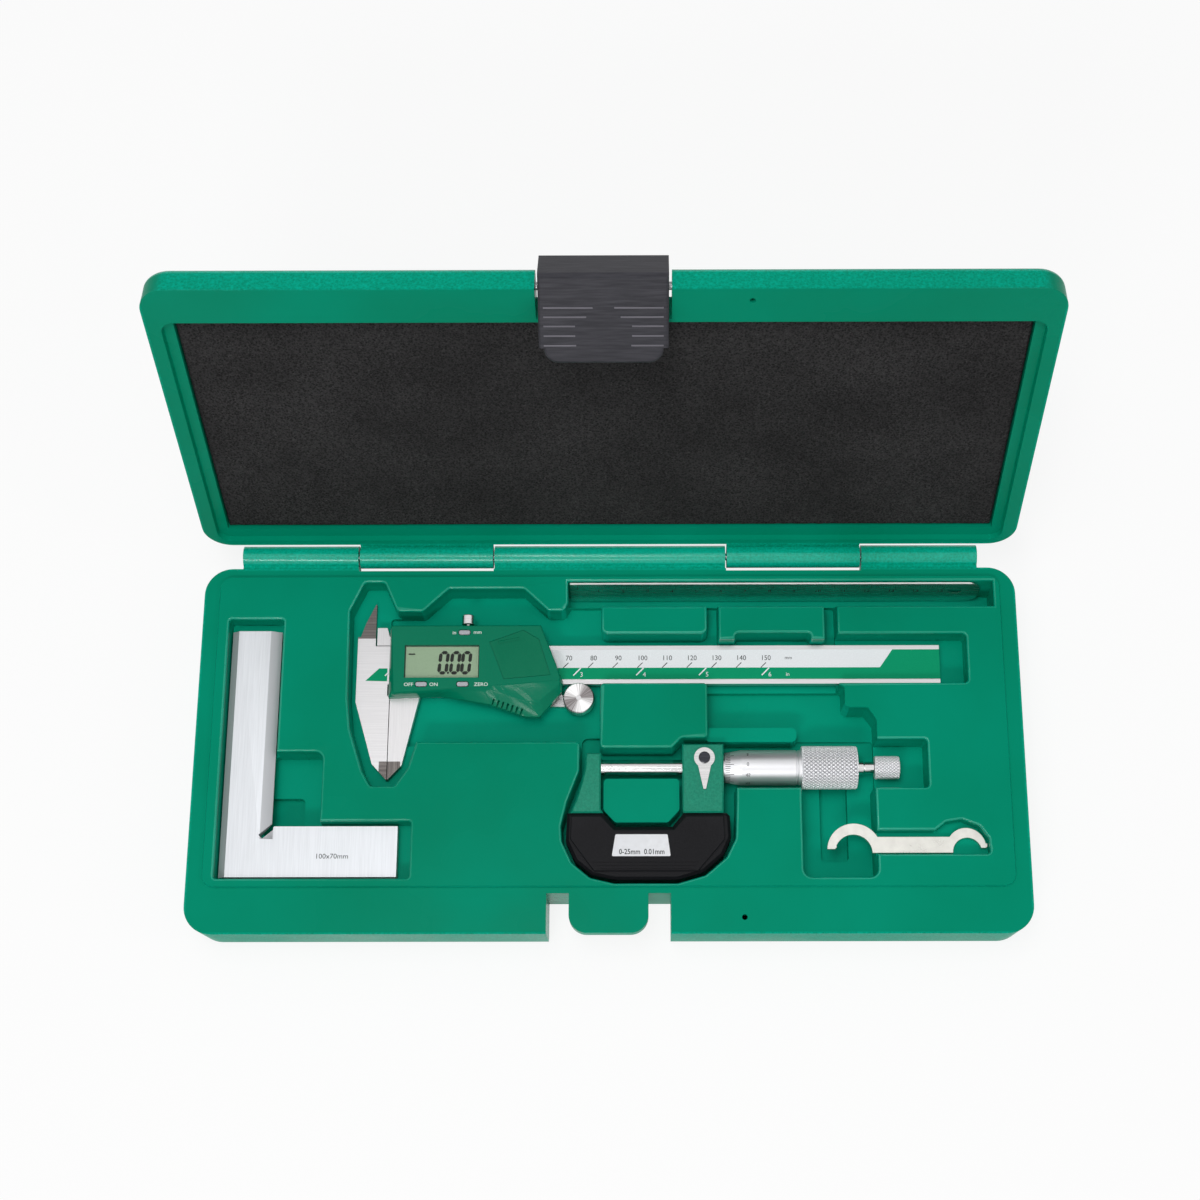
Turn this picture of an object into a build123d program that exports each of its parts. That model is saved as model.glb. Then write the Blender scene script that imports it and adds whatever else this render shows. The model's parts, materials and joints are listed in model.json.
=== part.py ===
"""Hinged tool case with a fitted tray: micrometer, digital caliper, bevelled square, rule and hook spanner.

Millimetres, +Z up.  The origin is the middle of the case's underside.  +X runs to the right along the
case, +Y towards the hinge.  Heights of tray features are given from the base's rim, upwards positive.
The case is drawn open, with the lid leaning back on its stop.
"""
from build123d import *
import math
import os

os.makedirs("parts", exist_ok=True)

# ---------------------------------------------------------------- driving dimensions: case
case_width = 330.0
case_depth = 148.4
base_height = 28.0
lid_height = 11.0
corner_radius = 11.0
skin = 2.2
wall_draft = 1.0
base_edge_radius = 2.5
lid_edge_radius = 3.0

# The tray's field stands a little proud of the rim, and the lid is hollowed to take it.
field_rise = 1.5
field_side = 6.2
field_front = 17.9
field_back = 3.5
field_radius = 5.0
field_edge_radius = 0.8
lid_recess = 2.2
lid_side = 5.6
lid_front = 17.3
lid_back = 2.9
foam_side = 4.7
foam_back = 5.8
foam_gap = 0.4
foam_sink = 3.0
foam_thickness = 4.0

# ---------------------------------------------------------------- driving dimensions: hinge and latch
hinge_offset = 5.6
hinge_drop = 2.3
knuckle_radius = 4.6
hinge_pin_radius = 1.5
pin_fit = 0.06
knuckle_gap = 0.6
knuckle_edges = (47.5, 102.5, 150.0)
hinge_relief = 1.0
hinge_relief_drop = 20.0
vent_x = 52.8
vent_in = 6.4
lid_open_angle = 108.75

notch_width = 48.5
notch_depth = 15.7
tab_width = 31.0
tab_thickness = 6.0
tab_corner = 7.0
tab_setback = 0.4
latch_width = 46.4
latch_plate = 2.4
latch_proud = 2.6
latch_pivot_in = 5.0
latch_pivot_up = 6.0
latch_top_rise = 1.8
latch_leg = 15.0
latch_leg_rise = 2.2
latch_drop = 31.7
latch_bevel = 1.5
latch_shoulder = 5.7
latch_tongue_corner = 5.4
latch_hook = 2.2
latch_hook_height = 3.0
latch_ear = 4.2
latch_gap = 0.4
latch_pin_radius = 1.5
latch_rest_angle = 62.0

# ---------------------------------------------------------------- driving dimensions: tools
tool_gap = 0.3
pocket_draft = 2.0

square_x = -153.2
square_from_front = 22.5
square_long = 100.0
square_short = 70.0
square_leg = 20.0
square_thickness = 5.0
square_top = -2.0
square_outer_bevel = 2.8
square_inner_bevel = 4.4
square_bevel_depth = 2.1

rule_left = -16.2
rule_length = 167.5
rule_width = 15.0
rule_thickness = 0.6
rule_tilt = 11.0
rule_from_back = 6.5
rule_top_z = 0.6

spanner_left = 96.3
spanner_right = 140.3
spanner_from_front = 34.8
spanner_thickness = 2.0
spanner_top = -2.0

caliper_zero = -86.7
beam_front = 26.7
beam_width = 16.0
beam_thickness = 3.5
beam_top = -5.0
beam_end = 220.3
housing_top = 2.3
slider_under = 2.3

mic_from_front = 66.55
mic_axis_z = -6.2
mic_face = 0.6
spindle_radius = 3.2
sleeve_radius = 5.2
thimble_radius = 7.0
grip_radius = 8.6
knob_radius = 4.6
frame_half = 6.0
cover_half = 7.0

# ---------------------------------------------------------------- derived places
rim = base_height
half_depth = case_depth / 2
field_z = rim + field_rise
hinge_y = half_depth + hinge_offset
hinge_z = rim - hinge_drop
hinge_axis = Axis((0, hinge_y, hinge_z), (1, 0, 0))
latch_y = -half_depth + latch_pivot_in
latch_z = rim + latch_pivot_up
latch_axis = Axis((0, latch_y, latch_z), (1, 0, 0))
square_y = -half_depth + square_from_front
mic_axis_y = -half_depth + mic_from_front
spanner_y = -half_depth + spanner_from_front
rule_top_y = half_depth - rule_from_back
beam_bottom = beam_top - beam_thickness
beam_back = beam_front + beam_width


def from_line(y, points):
    """Points whose second number is measured from a line along the case, at its place in Y."""
    return [(x, y + away) for x, away in points]


def box_points(left, right, front, back):
    """The four corners of an upright rectangle."""
    return [(left, front), (right, front), (right, back), (left, back)]


def outline(points, level, corner=0.0):
    """A closed polygon at a height above the rim, with its corners rounded."""
    with BuildSketch(Plane.XY.offset(rim + level)) as shape:
        with BuildLine():
            Polyline(*points, close=True)
        make_face()
        if corner:
            fillet(shape.vertices(), corner)
    return shape.sketch


def pocket(points, floor, corner, draft=pocket_draft):
    """Sink a drafted pocket from the tray's field down to a floor, given from the rim."""
    extrude(outline(points, field_rise, corner), amount=floor - field_rise, taper=draft, mode=Mode.SUBTRACT)


def island(points, floor, top, corner, draft=pocket_draft):
    """Leave a drafted block standing in a pocket, its outline anticlockwise, from its floor up to a top."""
    extrude(outline(points, floor, corner), amount=top - floor, taper=draft, mode=Mode.ADD)


def plate(points, low, high, corner=0.0):
    """A flat plate between two heights from the rim."""
    return extrude(outline(points, low, corner), amount=high - low, mode=Mode.ADD)


def slab_cut(points, low, high, corner=0.0):
    """Cut a flat-bottomed shape between two heights from the rim."""
    return extrude(outline(points, low, corner), amount=high - low, mode=Mode.SUBTRACT)


def profile_plane(x):
    """A plane across the case at x, whose sketch X is the case's Y and whose sketch Y is Z."""
    return Plane(origin=(x, 0, 0), x_dir=(0, 1, 0), z_dir=(1, 0, 0))


def opened(part):
    """Swing a piece of the lid, drawn closed, back to its open stop."""
    return part.rotate(hinge_axis, -lid_open_angle)


def finish(part, name):
    """Label a finished piece and write it to its own file."""
    part.label = name
    export_step(part, f"parts/{name}.step")


# ---------------------------------------------------------------- tray outlines, as seen from above
square_right = square_x + square_leg
square_pocket = [
    (square_x - 0.9, square_y - 1.1),
    (square_x + square_short + 5.6, square_y - 1.1),
    (square_x + square_short + 5.6, square_y + square_leg + 1.5),
    (square_right + 1.4, square_y + square_leg + 1.5),
    (square_right + 1.4, square_y + square_long + 4.2),
    (square_x - 0.9, square_y + square_long + 4.2),
]
square_finger = [
    (square_right - 2.0, square_y + square_leg - 6.0),
    (square_right + 19.8, square_y + square_leg - 6.0),
    (square_right + 19.8, square_y + 49.4),
    (square_right - 2.0, square_y + 49.4),
]
square_deep = [
    (square_right - 4.0, square_y + square_leg - 4.0),
    (square_right + 12.0, square_y + square_leg - 4.0),
    (square_right + 12.0, square_y + square_leg + 13.5),
    (square_right - 4.0, square_y + square_leg + 13.5),
]
jaw_pocket = [
    (-99.7, 68.0),
    (-105.3, 56.0),
    (-104.8, 19.5),
    (-103.4, 7.0),
    (-97.8, -10.4),
    (-94.4, -16.3),
    (-84.7, -16.3),
    (-79.6, -9.0),
    (-73.5, 12.0),
    (-73.5, 48.0),
    (-86.5, 56.5),
    (-91.6, 68.0),
]
housing_pocket = [
    (-90.0, mic_axis_y + 9.15),
    (-90.0, 55.6),
    (-75.7, 55.6),
    (-65.4, 65.2),
    (-34.9, 65.2),
    (-24.8, 55.8),
    (-18.6, 55.8),
    (-16.4, 60.0),
    (92.2, 60.0),
    (92.2, 20.0),
    (60.0, 20.0),
    (60.0, mic_axis_y + 4.65),
    (-11.6, mic_axis_y + 4.65),
    (-11.6, mic_axis_y + 9.15),
]
beam_end_pocket = [(84.0, 25.4), (144.0, 25.4), (144.0, 46.0), (84.0, 46.0)]
lower_finger = [
    (38.0, 24.6),
    (94.2, 24.6),
    (94.2, 15.4),
    (103.2, 15.4),
    (106.6, 10.3),
    (106.6, mic_axis_y + 1.65),
    (38.0, mic_axis_y + 1.65),
]
mic_pocket = from_line(mic_axis_y, [
    (-11.6, 13.65), (-11.9, -2.65), (-16.6, -14.85), (-18.9, -24.65), (-18.5, -30.65), (-14.5, -39.15),
    (-7.3, -45.05), (2.2, -47.25), (27.0, -47.25), (37.8, -44.15), (46.2, -36.95), (49.8, -29.55),
    (50.4, -15.05), (50.4, 13.65),
])
thimble_pocket = from_line(mic_axis_y, [(44.0, 12.65), (106.6, 12.65), (106.6, -9.55), (44.0, -9.55)])
mic_finger = from_line(mic_axis_y, [(75.9, -2.35), (105.2, -2.35), (105.2, -44.95), (75.9, -44.95)])
mic_deep = from_line(mic_axis_y, [(83.6, -0.35), (95.8, -0.35), (95.8, -36.95), (83.6, -36.95)])
knob_pocket = from_line(mic_axis_y, [(98.0, 10.15), (126.4, 10.15), (126.4, -9.55), (98.0, -9.55)])
spanner_pocket = from_line(spanner_y, [
    (98.0, -4.2), (149.2, -4.2), (148.8, 2.0), (145.2, 7.0), (138.6, 9.6), (132.3, 8.6), (128.0, 5.3),
    (98.0, 5.3),
])
block_behind = [(-3.6, 45.7), (39.8, 45.7), (39.8, 61.0), (-3.6, 61.0)]
block_front = [
    (-4.0, mic_axis_y + 6.25),
    (25.2, mic_axis_y + 6.25),
    (29.0, mic_axis_y + 10.35),
    (39.6, mic_axis_y + 10.35),
    (39.6, beam_front - 0.8),
    (-4.0, beam_front - 0.8),
]
block_right = [
    (43.7, 43.3),
    (51.1, 43.3),
    (51.1, 46.0),
    (81.0, 46.0),
    (81.0, 43.3),
    (87.4, 43.3),
    (87.4, 61.0),
    (43.7, 61.0),
]
ridge = from_line(mic_axis_y, [(38.0, 9.85), (75.2, 9.85), (75.2, 16.25), (38.0, 16.25)])
block_spindle = from_line(mic_axis_y, [
    (-2.6, -17.75), (2.2, -22.95), (23.4, -22.95), (28.2, -17.75), (28.2, -4.75), (-2.6, -4.75),
])

square_floor = square_top - square_thickness - tool_gap
jaw_floor = beam_bottom - tool_gap
housing_floor = beam_bottom - slider_under - tool_gap
finger_floor = -14.0
rule_floor = -14.8
frame_floor = mic_axis_z - cover_half - tool_gap
thimble_floor = mic_axis_z - grip_radius - tool_gap
knob_floor = mic_axis_z - knob_radius - tool_gap - 1.0
spanner_floor = spanner_top - spanner_thickness - tool_gap
deep_floor = -19.0

sunk_areas = [
    (square_pocket, square_floor, 1.2),
    (square_finger, -12.0, 3.5),
    (square_deep, -16.0, 2.5),
    (jaw_pocket, jaw_floor, 2.0),
    (housing_pocket, housing_floor, 1.8),
    (beam_end_pocket, jaw_floor, 1.8),
    (lower_finger, finger_floor, 1.8),
    (mic_pocket, frame_floor, 3.0),
    (thimble_pocket, thimble_floor, 2.0),
    (mic_finger, thimble_floor, 3.5),
    (mic_deep, deep_floor, 2.5),
    (knob_pocket, knob_floor, 1.5),
    (spanner_pocket, spanner_floor, 1.5),
]
standing_blocks = [
    (block_behind, housing_floor, field_rise, 3.0),
    (block_front, housing_floor, field_rise, 2.0),
    (block_right, housing_floor, field_rise, 1.2),
    (ridge, finger_floor, -4.5, 2.5),
    (block_spindle, frame_floor, -2.5, 2.0),
]

# ---------------------------------------------------------------- base shell
base_spans = [
    (-knuckle_edges[2], -knuckle_edges[1] - knuckle_gap / 2),
    (-knuckle_edges[0] + knuckle_gap / 2, knuckle_edges[0] - knuckle_gap / 2),
    (knuckle_edges[1] + knuckle_gap / 2, knuckle_edges[2]),
]
lid_spans = [
    (-knuckle_edges[1] + knuckle_gap / 2, -knuckle_edges[0] - knuckle_gap / 2),
    (knuckle_edges[0] + knuckle_gap / 2, knuckle_edges[1] - knuckle_gap / 2),
]


def knuckle(span, web_points):
    """Add a hinge knuckle over a span of X, carried by a web with the given Y-Z outline."""
    with BuildSketch(profile_plane(span[0])) as section:
        with Locations((hinge_y, hinge_z)):
            Circle(knuckle_radius)
        with BuildLine():
            Polyline(*web_points, close=True)
        make_face()
    extrude(section.sketch, amount=span[1] - span[0], mode=Mode.ADD)


def pin_bore(radius, left, right):
    """Bore the hinge line between two places in X."""
    with BuildSketch(profile_plane(left)) as section:
        with Locations((hinge_y, hinge_z)):
            Circle(radius)
    extrude(section.sketch, amount=right - left, mode=Mode.SUBTRACT)


def case_block(bottom, top, edge_radius, flare):
    """The rounded outer block of a case half, drafted away from the rim, with a rounded outer edge."""
    with BuildSketch(Plane.XY.offset(rim)) as footprint:
        RectangleRounded(case_width, case_depth, corner_radius)
    extrude(footprint.sketch, amount=flare * (top - bottom), taper=wall_draft)
    far_face = faces().sort_by(Axis.Z)[-1] if flare > 0 else faces().sort_by(Axis.Z)[0]
    fillet(far_face.edges(), edge_radius)


def in_sharp_step(point):
    """The channel's stepped corner by the thimble keeps its edges sharp."""
    return 92.25 < point.X < 106.7 and mic_axis_y + 10.65 < point.Y < beam_front - 2.0


lid_knuckle_x = (knuckle_edges[0] + knuckle_edges[1]) / 2
base_web = [
    (half_depth - 3.0, rim - 0.4),
    (hinge_y - 0.5, rim - 0.4),
    (hinge_y, hinge_z),
    (hinge_y - 1.5, hinge_z - knuckle_radius + 0.6),
    (half_depth - 3.0, hinge_z - knuckle_radius - 4.0),
]
hollow_top = rim - skin
hollow_inset = skin + 0.9

with BuildPart() as base_hollow:
    with BuildSketch(Plane.XY.offset(skin)):
        RectangleRounded(case_width - 2 * hollow_inset, case_depth - 2 * hollow_inset, corner_radius - skin)
    extrude(amount=hollow_top - skin)
    with BuildSketch(Plane.XY.offset(0)):
        with Locations((0, -half_depth)):
            Rectangle(notch_width + 2 * skin, 2 * (notch_depth + skin))
    extrude(amount=rim, mode=Mode.SUBTRACT)
    for points, floor, corner in sunk_areas:
        with BuildSketch(Plane.XY.offset(rim + floor - skin)) as grown:
            with BuildLine():
                Polyline(*points, close=True)
            make_face()
            offset(amount=skin, kind=Kind.INTERSECTION)
        extrude(grown.sketch, amount=-floor + skin, mode=Mode.SUBTRACT)
    with BuildSketch(Plane.XY.offset(rim + rule_floor - skin)):
        with Locations((rule_left + rule_length / 2, rule_top_y - 5.0)):
            Rectangle(rule_length + 12.0, 16.0)
    extrude(amount=-rule_floor + skin, mode=Mode.SUBTRACT)

with BuildPart() as base_shell:
    case_block(0, base_height, base_edge_radius, -1)
    with BuildSketch(Plane.XY.offset(rim)):
        with Locations((0, (field_front - field_back) / 2)):
            RectangleRounded(case_width - 2 * field_side, case_depth - field_front - field_back, field_radius)
    extrude(amount=field_rise, taper=20)
    for points, floor, corner in sunk_areas:
        pocket(points, floor, corner)
    for points, floor, top, corner in standing_blocks:
        island(points, floor, top, corner)
    with BuildSketch(profile_plane(rule_left - 0.8)):
        with BuildLine():
            Polyline(
                (rule_top_y - 10.4, rim + field_rise + 0.1),
                (rule_top_y + 0.7, rim + field_rise + 0.1),
                (rule_top_y - 1.8, rim + rule_floor),
                (rule_top_y - 6.6, rim + rule_floor),
                close=True,
            )
        make_face()
    extrude(amount=rule_length + 5.4, mode=Mode.SUBTRACT)
    with Locations((0, -half_depth, rim / 2)):
        Box(notch_width, 2 * notch_depth, 2 * rim, mode=Mode.SUBTRACT)
    with BuildSketch(Plane.XY.offset(rim - tab_thickness)) as tab:
        with Locations((0, -half_depth + (notch_depth + tab_setback) / 2 + 1.0)):
            Rectangle(tab_width, notch_depth - tab_setback + 2.0)
        fillet(tab.vertices().group_by(Axis.Y)[0], tab_corner)
    extrude(amount=tab_thickness)
    with Locations((0, half_depth, rim)):
        with Locations((-lid_knuckle_x, 0, 0), (lid_knuckle_x, 0, 0)):
            knuckle_length = knuckle_edges[1] - knuckle_edges[0]
            Box(knuckle_length, 2 * hinge_relief, 2 * hinge_relief_drop, mode=Mode.SUBTRACT)
    field = base_shell.faces().filter_by(Axis.Z).filter_by_position(Axis.Z, field_z - 0.01, field_z + 0.01)
    border = field.sort_by(SortBy.AREA)[-1].outer_wire().edges()
    pocket_edges = [edge for edge in field.edges() if edge not in border and not in_sharp_step(edge.center())]
    fillet(pocket_edges, field_edge_radius)
    for span in base_spans:
        knuckle(span, base_web)
    pin_bore(hinge_pin_radius + pin_fit, -knuckle_edges[2] - 1, -knuckle_edges[0] / 2)
    pin_bore(hinge_pin_radius + pin_fit, knuckle_edges[0] / 2, knuckle_edges[2] + 1)
    add(base_hollow.part, mode=Mode.SUBTRACT)
    with Locations((vent_x, -half_depth + vent_in, rim - 2.0)):
        Cylinder(1.1, 8.0, mode=Mode.SUBTRACT)
finish(base_shell.part, "base_shell")

# ---------------------------------------------------------------- lid shell, drawn closed
lid_top = rim + lid_height
lid_web = [
    (half_depth - 2.5, rim + 0.4),
    (half_depth - 2.5, rim + 6.0),
    (hinge_y - 2.0, hinge_z + knuckle_radius - 0.4),
    (hinge_y, hinge_z),
    (hinge_y - 3.4, rim + 0.4),
]
recess_width = case_width - 2 * lid_side
recess_depth = case_depth - lid_front - lid_back
recess_y = (lid_front - lid_back) / 2
foam_width = recess_width - 2 * foam_side
foam_depth = recess_depth - foam_gap - foam_back
foam_y = -half_depth + lid_front + foam_gap + foam_depth / 2
foam_seat = foam_sink + foam_thickness
lid_inset = lid_edge_radius + 1.0

hollow_width = case_width - 2 * lid_inset
hollow_depth = case_depth - 2 * lid_inset
with BuildPart() as lid_hollow:
    with BuildSketch(Plane.XY.offset(rim + foam_seat + skin - 0.2)):
        RectangleRounded(hollow_width, hollow_depth, corner_radius - lid_edge_radius)
    extrude(amount=lid_height - foam_seat - 2 * (skin - 0.2) + 0.4)
    with BuildSketch(Plane.XY.offset(rim)):
        with Locations((0, -half_depth)):
            Rectangle(notch_width + 10.0, 2 * (notch_depth + skin))
    extrude(amount=lid_height, mode=Mode.SUBTRACT)

with BuildPart() as lid_shell:
    case_block(0, lid_height, lid_edge_radius, 1)
    with BuildSketch(Plane.XY.offset(rim)):
        with Locations((0, recess_y)):
            RectangleRounded(recess_width, recess_depth, field_radius)
    extrude(amount=lid_recess, taper=10, mode=Mode.SUBTRACT)
    with BuildSketch(Plane.XY.offset(rim)):
        with Locations((0, foam_y)):
            Rectangle(foam_width + 2 * foam_gap, foam_depth + 2 * foam_gap)
    extrude(amount=foam_seat, mode=Mode.SUBTRACT)
    with Locations((0, -half_depth, rim + lid_height / 2)):
        Box(notch_width, 2 * notch_depth, 2 * lid_height, mode=Mode.SUBTRACT)
    for span in lid_spans:
        knuckle(span, lid_web)
    pin_bore(hinge_pin_radius + pin_fit, -knuckle_edges[1], -knuckle_edges[0])
    pin_bore(hinge_pin_radius + pin_fit, knuckle_edges[0], knuckle_edges[1])
    add(lid_hollow.part, mode=Mode.SUBTRACT)
    with BuildSketch(profile_plane(-notch_width / 2 - 4.0)) as pin_holes:
        with Locations((latch_y, latch_z)):
            Circle(latch_pin_radius + pin_fit)
    extrude(pin_holes.sketch, amount=notch_width + 8.0, mode=Mode.SUBTRACT)
    with Locations((vent_x, -half_depth + vent_in, rim + 4.0)):
        Cylinder(1.1, 12.0, mode=Mode.SUBTRACT)
finish(opened(lid_shell.part), "lid_shell")

with BuildPart() as lid_foam:
    with BuildSketch(Plane.XY.offset(rim + foam_sink)):
        with Locations((0, foam_y)):
            RectangleRounded(foam_width, foam_depth, 1.5)
    extrude(amount=foam_thickness)
finish(opened(lid_foam.part), "lid_foam")

# ---------------------------------------------------------------- hinge pins, pressed into the base's knuckles
for side, name in ((-1, "hinge_pin_left"), (1, "hinge_pin_right")):
    inner_end = knuckle_edges[0] - 15.0
    outer_end = knuckle_edges[2] - 0.5
    left_end = inner_end if side > 0 else -outer_end
    with BuildPart() as hinge_pin:
        with BuildSketch(profile_plane(left_end)):
            with Locations((hinge_y, hinge_z)):
                Circle(hinge_pin_radius)
        extrude(amount=outer_end - inner_end)
        chamfer(hinge_pin.edges().filter_by(GeomType.CIRCLE), 0.3)
    finish(hinge_pin.part, name)

# ---------------------------------------------------------------- latch, drawn hooked under the tab
latch_face = -half_depth - latch_proud
latch_inner = latch_face + latch_plate
latch_roof = lid_top + latch_top_rise
latch_foot = latch_roof - latch_bevel - latch_drop
hook_top = rim - tab_thickness - latch_gap
# Raised ribs on the latch's face: how far each lies below the bevel, and how long it is.
latch_ribs = [(10.9, 17.5), (14.3, 15.2), (17.7, 11.2), (21.3, 11.2), (24.9, 11.5)]


def stowed_latch(part):
    """Swing the latch in from its hooked place, then carry it back with the open lid."""
    return opened(part.rotate(latch_axis, latch_rest_angle))


with BuildPart() as latch:
    with BuildSketch(profile_plane(-latch_width / 2)) as latch_section:
        with BuildLine():
            Polyline(
                (latch_face, latch_foot + latch_shoulder),
                (latch_face, latch_roof - latch_bevel),
                (latch_face + latch_bevel, latch_roof),
                (latch_face + latch_leg, latch_roof + latch_leg_rise),
                (latch_face + latch_leg, latch_roof + latch_leg_rise - latch_plate + 0.2),
                (latch_inner + 1.4, latch_roof - latch_plate + 0.2),
                (latch_inner, latch_roof - latch_plate - 1.2),
                (latch_inner, latch_foot + latch_shoulder),
                close=True,
            )
        make_face()
    extrude(latch_section.sketch, amount=latch_width)
    with BuildSketch(Plane.XZ.offset(-latch_inner)) as tongue:
        with Locations((0, latch_foot + latch_shoulder)):
            Rectangle(latch_width - 3.6, 2 * latch_shoulder)
        fillet(tongue.vertices().group_by(Axis.Y)[0], latch_tongue_corner)
    extrude(tongue.sketch, amount=latch_plate)
    with BuildSketch(profile_plane(-tab_width / 2 + 1.0)) as hook:
        with BuildLine():
            Polyline(
                (latch_inner - 0.5, hook_top),
                (latch_inner + latch_hook, hook_top),
                (latch_inner + latch_hook, hook_top - 1.0),
                (latch_inner - 0.5, hook_top - latch_hook_height),
                close=True,
            )
        make_face()
    extrude(hook.sketch, amount=tab_width - 2.0)
    for ear_left in (-latch_width / 2, latch_width / 2 - 3.0):
        with BuildSketch(profile_plane(ear_left)) as ear:
            with Locations((latch_y, latch_z)):
                Circle(latch_ear)
            with BuildLine():
                Polyline(
                    (latch_inner - 0.5, latch_z - latch_ear),
                    (latch_y, latch_z - latch_ear),
                    (latch_y + latch_ear, latch_z),
                    (latch_y + latch_ear, latch_roof - 1.0),
                    (latch_inner - 0.5, latch_roof - 1.0),
                    close=True,
                )
            make_face()
        extrude(ear.sketch, amount=3.0)
    with BuildSketch(profile_plane(-latch_width)) as latch_bore:
        with Locations((latch_y, latch_z)):
            Circle(latch_pin_radius + pin_fit)
    extrude(latch_bore.sketch, amount=2 * latch_width, mode=Mode.SUBTRACT)
    outer_edges = latch.edges().filter_by(Axis.Z).group_by(Axis.Y)[0]
    fillet(outer_edges, 1.2)
    for below, run in latch_ribs:
        rib_x = latch_width / 2 - 1.9 - run / 2
        rib_z = latch_roof - latch_bevel - below
        with Locations((-rib_x, latch_face, rib_z), (rib_x, latch_face, rib_z)):
            Box(run, 0.6, 0.6)
finish(stowed_latch(latch.part), "latch")

with BuildPart() as latch_pin:
    with BuildSketch(profile_plane(-notch_width / 2 - 3.0)):
        with Locations((latch_y, latch_z)):
            Circle(latch_pin_radius)
    extrude(amount=notch_width + 6.0)
finish(opened(latch_pin.part), "latch_pin")

# ---------------------------------------------------------------- bevelled square
with BuildPart() as bevelled_square:
    with BuildSketch(Plane.XY.offset(rim + square_top - square_thickness)):
        with BuildLine():
            Polyline(
                (square_x, square_y),
                (square_x + square_short, square_y),
                (square_x + square_short, square_y + square_leg),
                (square_right, square_y + square_leg),
                (square_right, square_y + square_long),
                (square_x, square_y + square_long),
                close=True,
            )
        make_face()
    extrude(amount=square_thickness)
    for level in (square_top, square_top - square_thickness):
        inward = -1 if level == square_top else 1
        with BuildSketch(Plane.XZ.offset(-square_y)) as bevel:
            with BuildLine():
                Polyline(
                    (square_x - 1.0, rim + level),
                    (square_x + square_outer_bevel, rim + level),
                    (square_x, rim + level + inward * square_bevel_depth),
                    (square_x - 1.0, rim + level + inward * square_bevel_depth),
                    close=True,
                )
            make_face()
        extrude(bevel.sketch, amount=-square_long, mode=Mode.SUBTRACT)
        with BuildSketch(Plane.XZ.offset(-square_y - square_leg)) as bevel:
            with BuildLine():
                Polyline(
                    (square_right + 1.0, rim + level),
                    (square_right - square_inner_bevel, rim + level),
                    (square_right, rim + level + inward * square_bevel_depth),
                    (square_right + 1.0, rim + level + inward * square_bevel_depth),
                    close=True,
                )
            make_face()
        extrude(bevel.sketch, amount=-square_long, mode=Mode.SUBTRACT)
    with BuildSketch(Plane.XY.offset(rim + square_top - square_thickness)):
        with Locations((square_right - 1.2, square_y + square_leg - 1.2)):
            Rectangle(8.0, 2.0, rotation=45)
    extrude(amount=square_thickness, mode=Mode.SUBTRACT)
finish(bevelled_square.part, "bevelled_square")

# ---------------------------------------------------------------- steel rule, leaning on the back of its slot
rule_lean = math.radians(rule_tilt)
rule_plane = Plane(
    origin=(rule_left, rule_top_y, rim + rule_top_z),
    x_dir=(1, 0, 0),
    z_dir=(0, -math.cos(rule_lean), math.sin(rule_lean)),
)
with BuildPart() as steel_rule:
    with BuildSketch(rule_plane) as blade:
        with Locations((rule_length / 2, -rule_width / 2)):
            Rectangle(rule_length, rule_width)
        fillet(blade.vertices().group_by(Axis.X)[-1], 5.5)
        with Locations((rule_length - 10.0, -rule_width / 2 + 0.8)):
            SlotOverall(5.5, 3.2, mode=Mode.SUBTRACT)
    extrude(amount=rule_thickness)
finish(steel_rule.part, "steel_rule")

# ---------------------------------------------------------------- hook spanner
left_ring = (spanner_left, spanner_y - 2.2)
right_ring = (spanner_right, spanner_y - 1.1)
spanner_low = spanner_top - spanner_thickness
spanner_past = 20.0
with BuildPart() as hook_spanner:
    for (ring_x, ring_y), ring_radius in ((left_ring, 10.6), (right_ring, 7.7)):
        with Locations((ring_x, ring_y, rim + spanner_low + spanner_thickness / 2)):
            Cylinder(ring_radius, spanner_thickness)
    shank = box_points(spanner_left + 6.2, spanner_right - 4.8, spanner_y - 3.1, spanner_y + 3.1)
    plate(shank, spanner_low, spanner_top)
    for (mouth_x, mouth_y), mouth_radius in (
        ((spanner_left - 0.3, left_ring[1] - 1.1), 7.4),
        ((spanner_right + 0.3, right_ring[1] - 1.8), 5.7),
    ):
        with Locations((mouth_x, mouth_y, rim + spanner_low + spanner_thickness / 2)):
            Cylinder(mouth_radius, 2 * spanner_thickness, mode=Mode.SUBTRACT)
    for left, right, back in (
        (spanner_left - spanner_past, spanner_right + spanner_past, spanner_y - 3.1),
        (spanner_left - spanner_past, spanner_left - 5.9, spanner_y - 1.6),
        (spanner_right + 3.7, spanner_right + spanner_past, spanner_y - 1.2),
    ):
        slab_cut(box_points(left, right, spanner_y - spanner_past, back), spanner_low, spanner_top)
    for tip_x, tip_y in ((spanner_left - 8.3, spanner_y - 0.5), (spanner_right + 6.8, spanner_y - 0.2)):
        plate(box_points(tip_x - 1.3, tip_x + 1.3, tip_y - 0.65, tip_y + 0.65), spanner_low, spanner_top)
finish(hook_spanner.part, "hook_spanner")

# ---------------------------------------------------------------- digital caliper: beam with its fixed jaws
beam_right = caliper_zero + beam_end
rod_half = 0.9
rod_depth = 1.0
groove_gap = 0.3


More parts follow.
